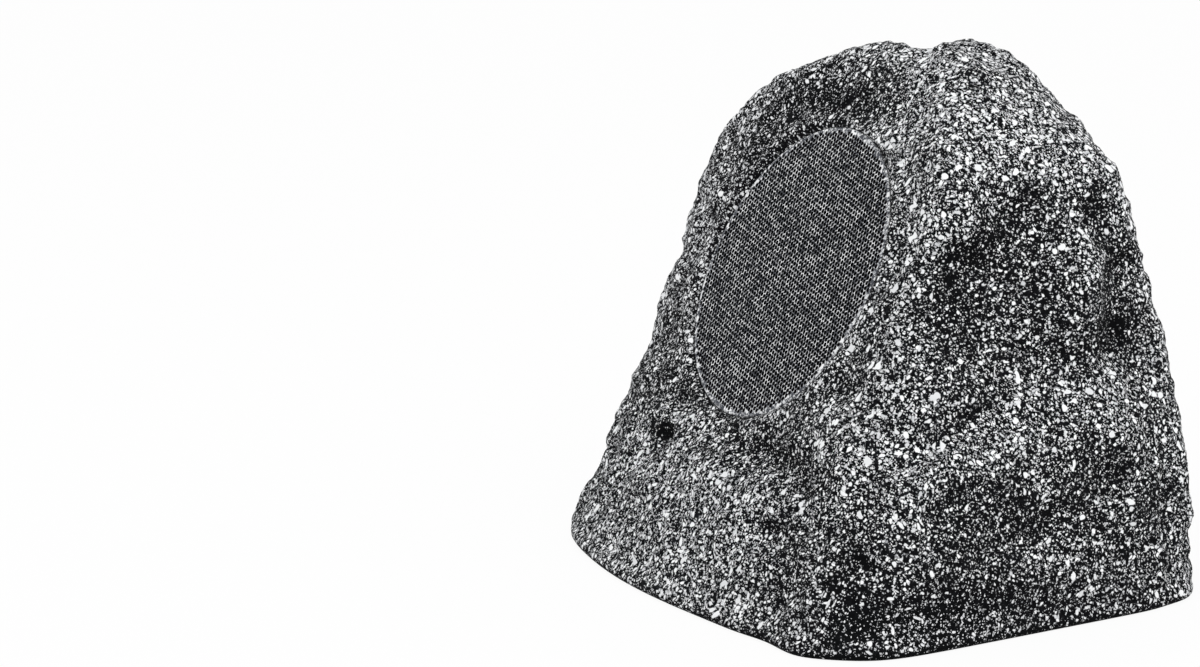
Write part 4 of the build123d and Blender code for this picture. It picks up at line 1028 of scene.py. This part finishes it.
class ROCKSPEAKER_OT_rock(bpy.types.Operator):
    """Make the moulded rock with its relief and flecked finish"""

    bl_idname = "rockspeaker.rock"
    bl_label = "Rock"

    def execute(self, context):
        settings = context.scene.rock_speaker
        rock = settings.rock
        look = {"roughness": 0.78, "bump": 0.55, "mark": "skin", "under": ROCK_INSIDE}
        finish = flecked("speckled_moulding", settings.finish, **look)
        piece = new_piece("rock_skin", rock_mesh())
        values = {rock.bl_rna.properties[key].name: getattr(rock, key) for key in RockSettings.__annotations__}
        grow(piece, crag_tree(), {**values, "Material": finish})
        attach(piece, CABINET)
        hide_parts("rock_shell")
        return {"FINISHED"}


class ROCKSPEAKER_OT_grille(bpy.types.Operator):
    """Make the perforated grille with its folded rim"""

    bl_idname = "rockspeaker.grille"
    bl_label = "Grille"

    def execute(self, context):
        settings = context.scene.rock_speaker
        grille = settings.grille
        radius = GRILLE_RADIUS * MM
        sheet_radius = radius - SHEET_INSET
        look = {"roughness": 0.6, "bump": 0.35, "mark": "web", "under": HOLE_SHADE}
        finish = flecked("grille_paint", settings.finish, **look, ground=GRILLE_GROUND, shrink=GRILLE_SHRINK)
        piece = new_piece("grille_sheet", hole_cell(grille.hole_pitch, grille.hole_diameter / 2, grille.sheet))
        values = {
            "Disc radius": sheet_radius,
            "Field radius": radius - grille.plain_rim,
            "Pitch": grille.hole_pitch,
            "Turn": grille.turn,
            "Sheet": grille.sheet,
            "Rows": 2 * math.ceil(radius / (grille.hole_pitch * math.sqrt(3) / 2)) + 2,
            "Material": finish,
        }
        grow(piece, perforation_tree(), values)
        mesh = bmesh.new()
        mesh.from_mesh(piece.data)
        bmesh.ops.remove_doubles(mesh, verts=mesh.verts, dist=MERGE)
        bmesh.ops.dissolve_degenerate(mesh, edges=mesh.edges, dist=MERGE)
        bmesh.ops.bridge_loops(mesh, edges=[edge for edge in mesh.edges if edge.is_boundary])
        fold = radius - grille.sheet
        rim = [(sheet_radius, 0.0)] + [(radius - inset, level) for inset, level in RIM_ROUND]
        rim += [(radius, -RIM_DEPTH), (fold, -RIM_DEPTH), (fold, -grille.sheet), (sheet_radius, -grille.sheet)]
        turned_rim(mesh, rim, RIM_SIDES)
        place = grille_place()
        place.translation = place.translation * MM
        mesh.transform(place)
        mesh.to_mesh(piece.data)
        mesh.free()
        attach(piece, CABINET)
        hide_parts("grille")
        return {"FINISHED"}


def inner_finishes():
    """The finish of each material slot that the carried-over nodes use."""
    finishes = [
        grained("black_moulding", (0.026, 0.026, 0.028), 0.55, size=0.0015, bump=0.2),
        grained("seal_foam", (0.045, 0.045, 0.045), 0.9, size=0.0012, bump=0.5, specular=0.2),
        grained("screw_steel", (0.55, 0.55, 0.54), 0.36, metallic=1.0, size=0.001, spread=0.15),
        grained("black_rubber", (0.02, 0.02, 0.02), 0.72, size=0.0014, bump=0.15, specular=0.35),
        woven("scrim_cloth", (0.008, 0.008, 0.008), 0.0008),
        grained("basket_paint", (0.03, 0.03, 0.032), 0.42, size=0.0018, bump=0.12),
        grained("cone_plastic", (0.05, 0.05, 0.052), 0.5, size=0.003, bump=0.2),
        grained("coil_aluminium", (0.75, 0.75, 0.76), 0.3, metallic=1.0, size=0.0012, spread=0.1),
        wound("copper_wire", (0.62, 0.26, 0.12)),
        woven("spider_cloth", (0.55, 0.40, 0.18), 0.0011),
        grained("motor_steel", (0.5, 0.5, 0.49), 0.34, metallic=1.0, size=0.002, spread=0.12),
        grained("ferrite", (0.06, 0.06, 0.063), 0.6, size=0.001, bump=0.3, spread=0.3),
        grained("board_laminate", (0.40, 0.27, 0.12), 0.55, size=0.002, spread=0.2),
        grained("tab_brass", (0.72, 0.58, 0.32), 0.3, metallic=1.0, size=0.001, spread=0.12),
        woven("dome_silk", (0.03, 0.03, 0.034), 0.0006, roughness=0.6),
        grained("capacitor_sleeve", (0.03, 0.045, 0.16), 0.28, size=0.003, bump=0.05),
        grained("resistor_body", (0.72, 0.70, 0.64), 0.8, size=0.0009, bump=0.4, spread=0.1),
        grained("terminal_green", (0.03, 0.2, 0.09), 0.45, size=0.002, bump=0.1),
    ]
    return {finish.name.removesuffix(FINISH): finish for finish in finishes}


class ROCKSPEAKER_OT_inner(bpy.types.Operator):
    """Give the parts behind the grille and under the rock their finishes"""

    bl_idname = "rockspeaker.inner"
    bl_label = "Inner parts"

    def execute(self, context):
        finishes = inner_finishes()
        for part in frame["record"]["subparts"]:
            finish = finishes.get(part["material_slot"])
            if finish is None:
                continue
            data = NODES[part["node"]].data
            data.materials.clear()
            data.materials.append(finish)
        return {"FINISHED"}


def turned_to(place, aim):
    """The turn of a lamp or camera at a place that looks towards a point."""
    return (Vector(aim) - Vector(place)).to_track_quat("-Z", "Y").to_euler()


def area_lamp(name, place, aim, size, power):
    """A square soft lamp at a place, turned towards a point."""
    data = bpy.data.lights.new(name, "AREA")
    data.shape = "SQUARE"
    data.size = size
    data.energy = power
    lamp = bpy.data.objects.new(name, data)
    lamp.location = place
    lamp.rotation_euler = turned_to(place, aim)
    bpy.context.scene.collection.objects.link(lamp)


def empty_tree(owner):
    """The node tree of a material or world, with nothing in it."""
    owner.use_nodes = True
    owner.node_tree.nodes.clear()
    return owner.node_tree


def seen_white(tree, shade, white, share):
    """A shader that is mixed with white by a share where it is looked at, in a reflection or through glass too."""
    path = add(tree, "ShaderNodeLightPath").outputs
    mirrored = maths(tree, "MAXIMUM", path["Is Glossy Ray"], path["Is Transmission Ray"])
    seen = maths(tree, "MULTIPLY", maths(tree, "MAXIMUM", path["Is Camera Ray"], mirrored), share)
    return first(tree, "ShaderNodeMixShader", {0: seen, 1: shade, 2: white})


class ROCKSPEAKER_OT_stage(bpy.types.Operator):
    """Set up the floor, the soft lamps and the camera"""

    bl_idname = "rockspeaker.stage"
    bl_label = "Stage"

    def execute(self, context):
        scene = context.scene
        stage = scene.rock_speaker.stage
        mesh = bmesh.new()
        bmesh.ops.create_grid(mesh, x_segments=1, y_segments=1, size=FLOOR_SIZE)
        floor = new_piece("floor", mesh)
        material = bpy.data.materials.new("floor_paper")
        tree = empty_tree(material)
        matt = first(tree, "ShaderNodeBsdfDiffuse", {"Color": tuple(stage.floor)})
        white = first(tree, "ShaderNodeEmission", {"Color": WHITE, "Strength": 1.0})
        add(tree, "ShaderNodeOutputMaterial", {"Surface": seen_white(tree, matt, white, FLOOR_WHITE)})
        floor.data.materials.append(material)
        world = bpy.data.worlds.new("studio")
        tree = empty_tree(world)
        soft = first(tree, "ShaderNodeBackground", {"Color": WHITE, "Strength": stage.ambient})
        white = first(tree, "ShaderNodeBackground", {"Color": WHITE, "Strength": 1.0})
        add(tree, "ShaderNodeOutputWorld", {"Surface": seen_white(tree, soft, white, 1.0)})
        scene.world = world
        area_lamp("overhead_lamp", KEY_PLACE, LAMP_AIM, KEY_SIZE, stage.key_power)
        area_lamp("right_lamp", FILL_PLACE, LAMP_AIM, FILL_SIZE, stage.fill_power)
        data = bpy.data.cameras.new("camera")
        data.lens = stage.lens
        data.sensor_width = SENSOR_WIDTH
        data.sensor_fit = "HORIZONTAL"
        camera = bpy.data.objects.new("camera", data)
        camera.location = CAMERA_PLACE
        camera.rotation_euler = turned_to(CAMERA_PLACE, CAMERA_AIM)
        scene.collection.objects.link(camera)
        scene.camera = camera
        scene.view_settings.view_transform = "Standard"
        return {"FINISHED"}


class ROCKSPEAKER_PT_panel(bpy.types.Panel):
    """Settings and steps of the rock speaker."""

    bl_idname = "ROCKSPEAKER_PT_panel"
    bl_label = "Rock speaker"
    bl_space_type = "VIEW_3D"
    bl_region_type = "UI"
    bl_category = "Rock speaker"

    def draw(self, context):
        settings = context.scene.rock_speaker
        for group in (settings.rock, settings.finish, settings.grille, settings.stage):
            box = self.layout.box()
            for name in group.__annotations__:
                box.prop(group, name)
        for step in OPERATORS:
            self.layout.operator(step.bl_idname)


OPERATORS = (ROCKSPEAKER_OT_rock, ROCKSPEAKER_OT_grille, ROCKSPEAKER_OT_inner, ROCKSPEAKER_OT_stage)
SETTINGS = (RockSettings, FinishSettings, GrilleSettings, StageSettings, SpeakerSettings)
CLASSES = (*SETTINGS, *OPERATORS, ROCKSPEAKER_PT_panel)


def register():
    for item in CLASSES:
        bpy.utils.register_class(item)
    bpy.types.Scene.rock_speaker = PointerProperty(
        type=SpeakerSettings, name="Rock speaker", description="Sizes and colours of the rock speaker"
    )


def unregister():
    del bpy.types.Scene.rock_speaker
    for item in reversed(CLASSES):
        bpy.utils.unregister_class(item)


def main():
    register()
    bpy.ops.rockspeaker.rock()
    bpy.ops.rockspeaker.grille()
    bpy.ops.rockspeaker.inner()
    bpy.ops.rockspeaker.stage()


if __name__ == "__main__":
    main()
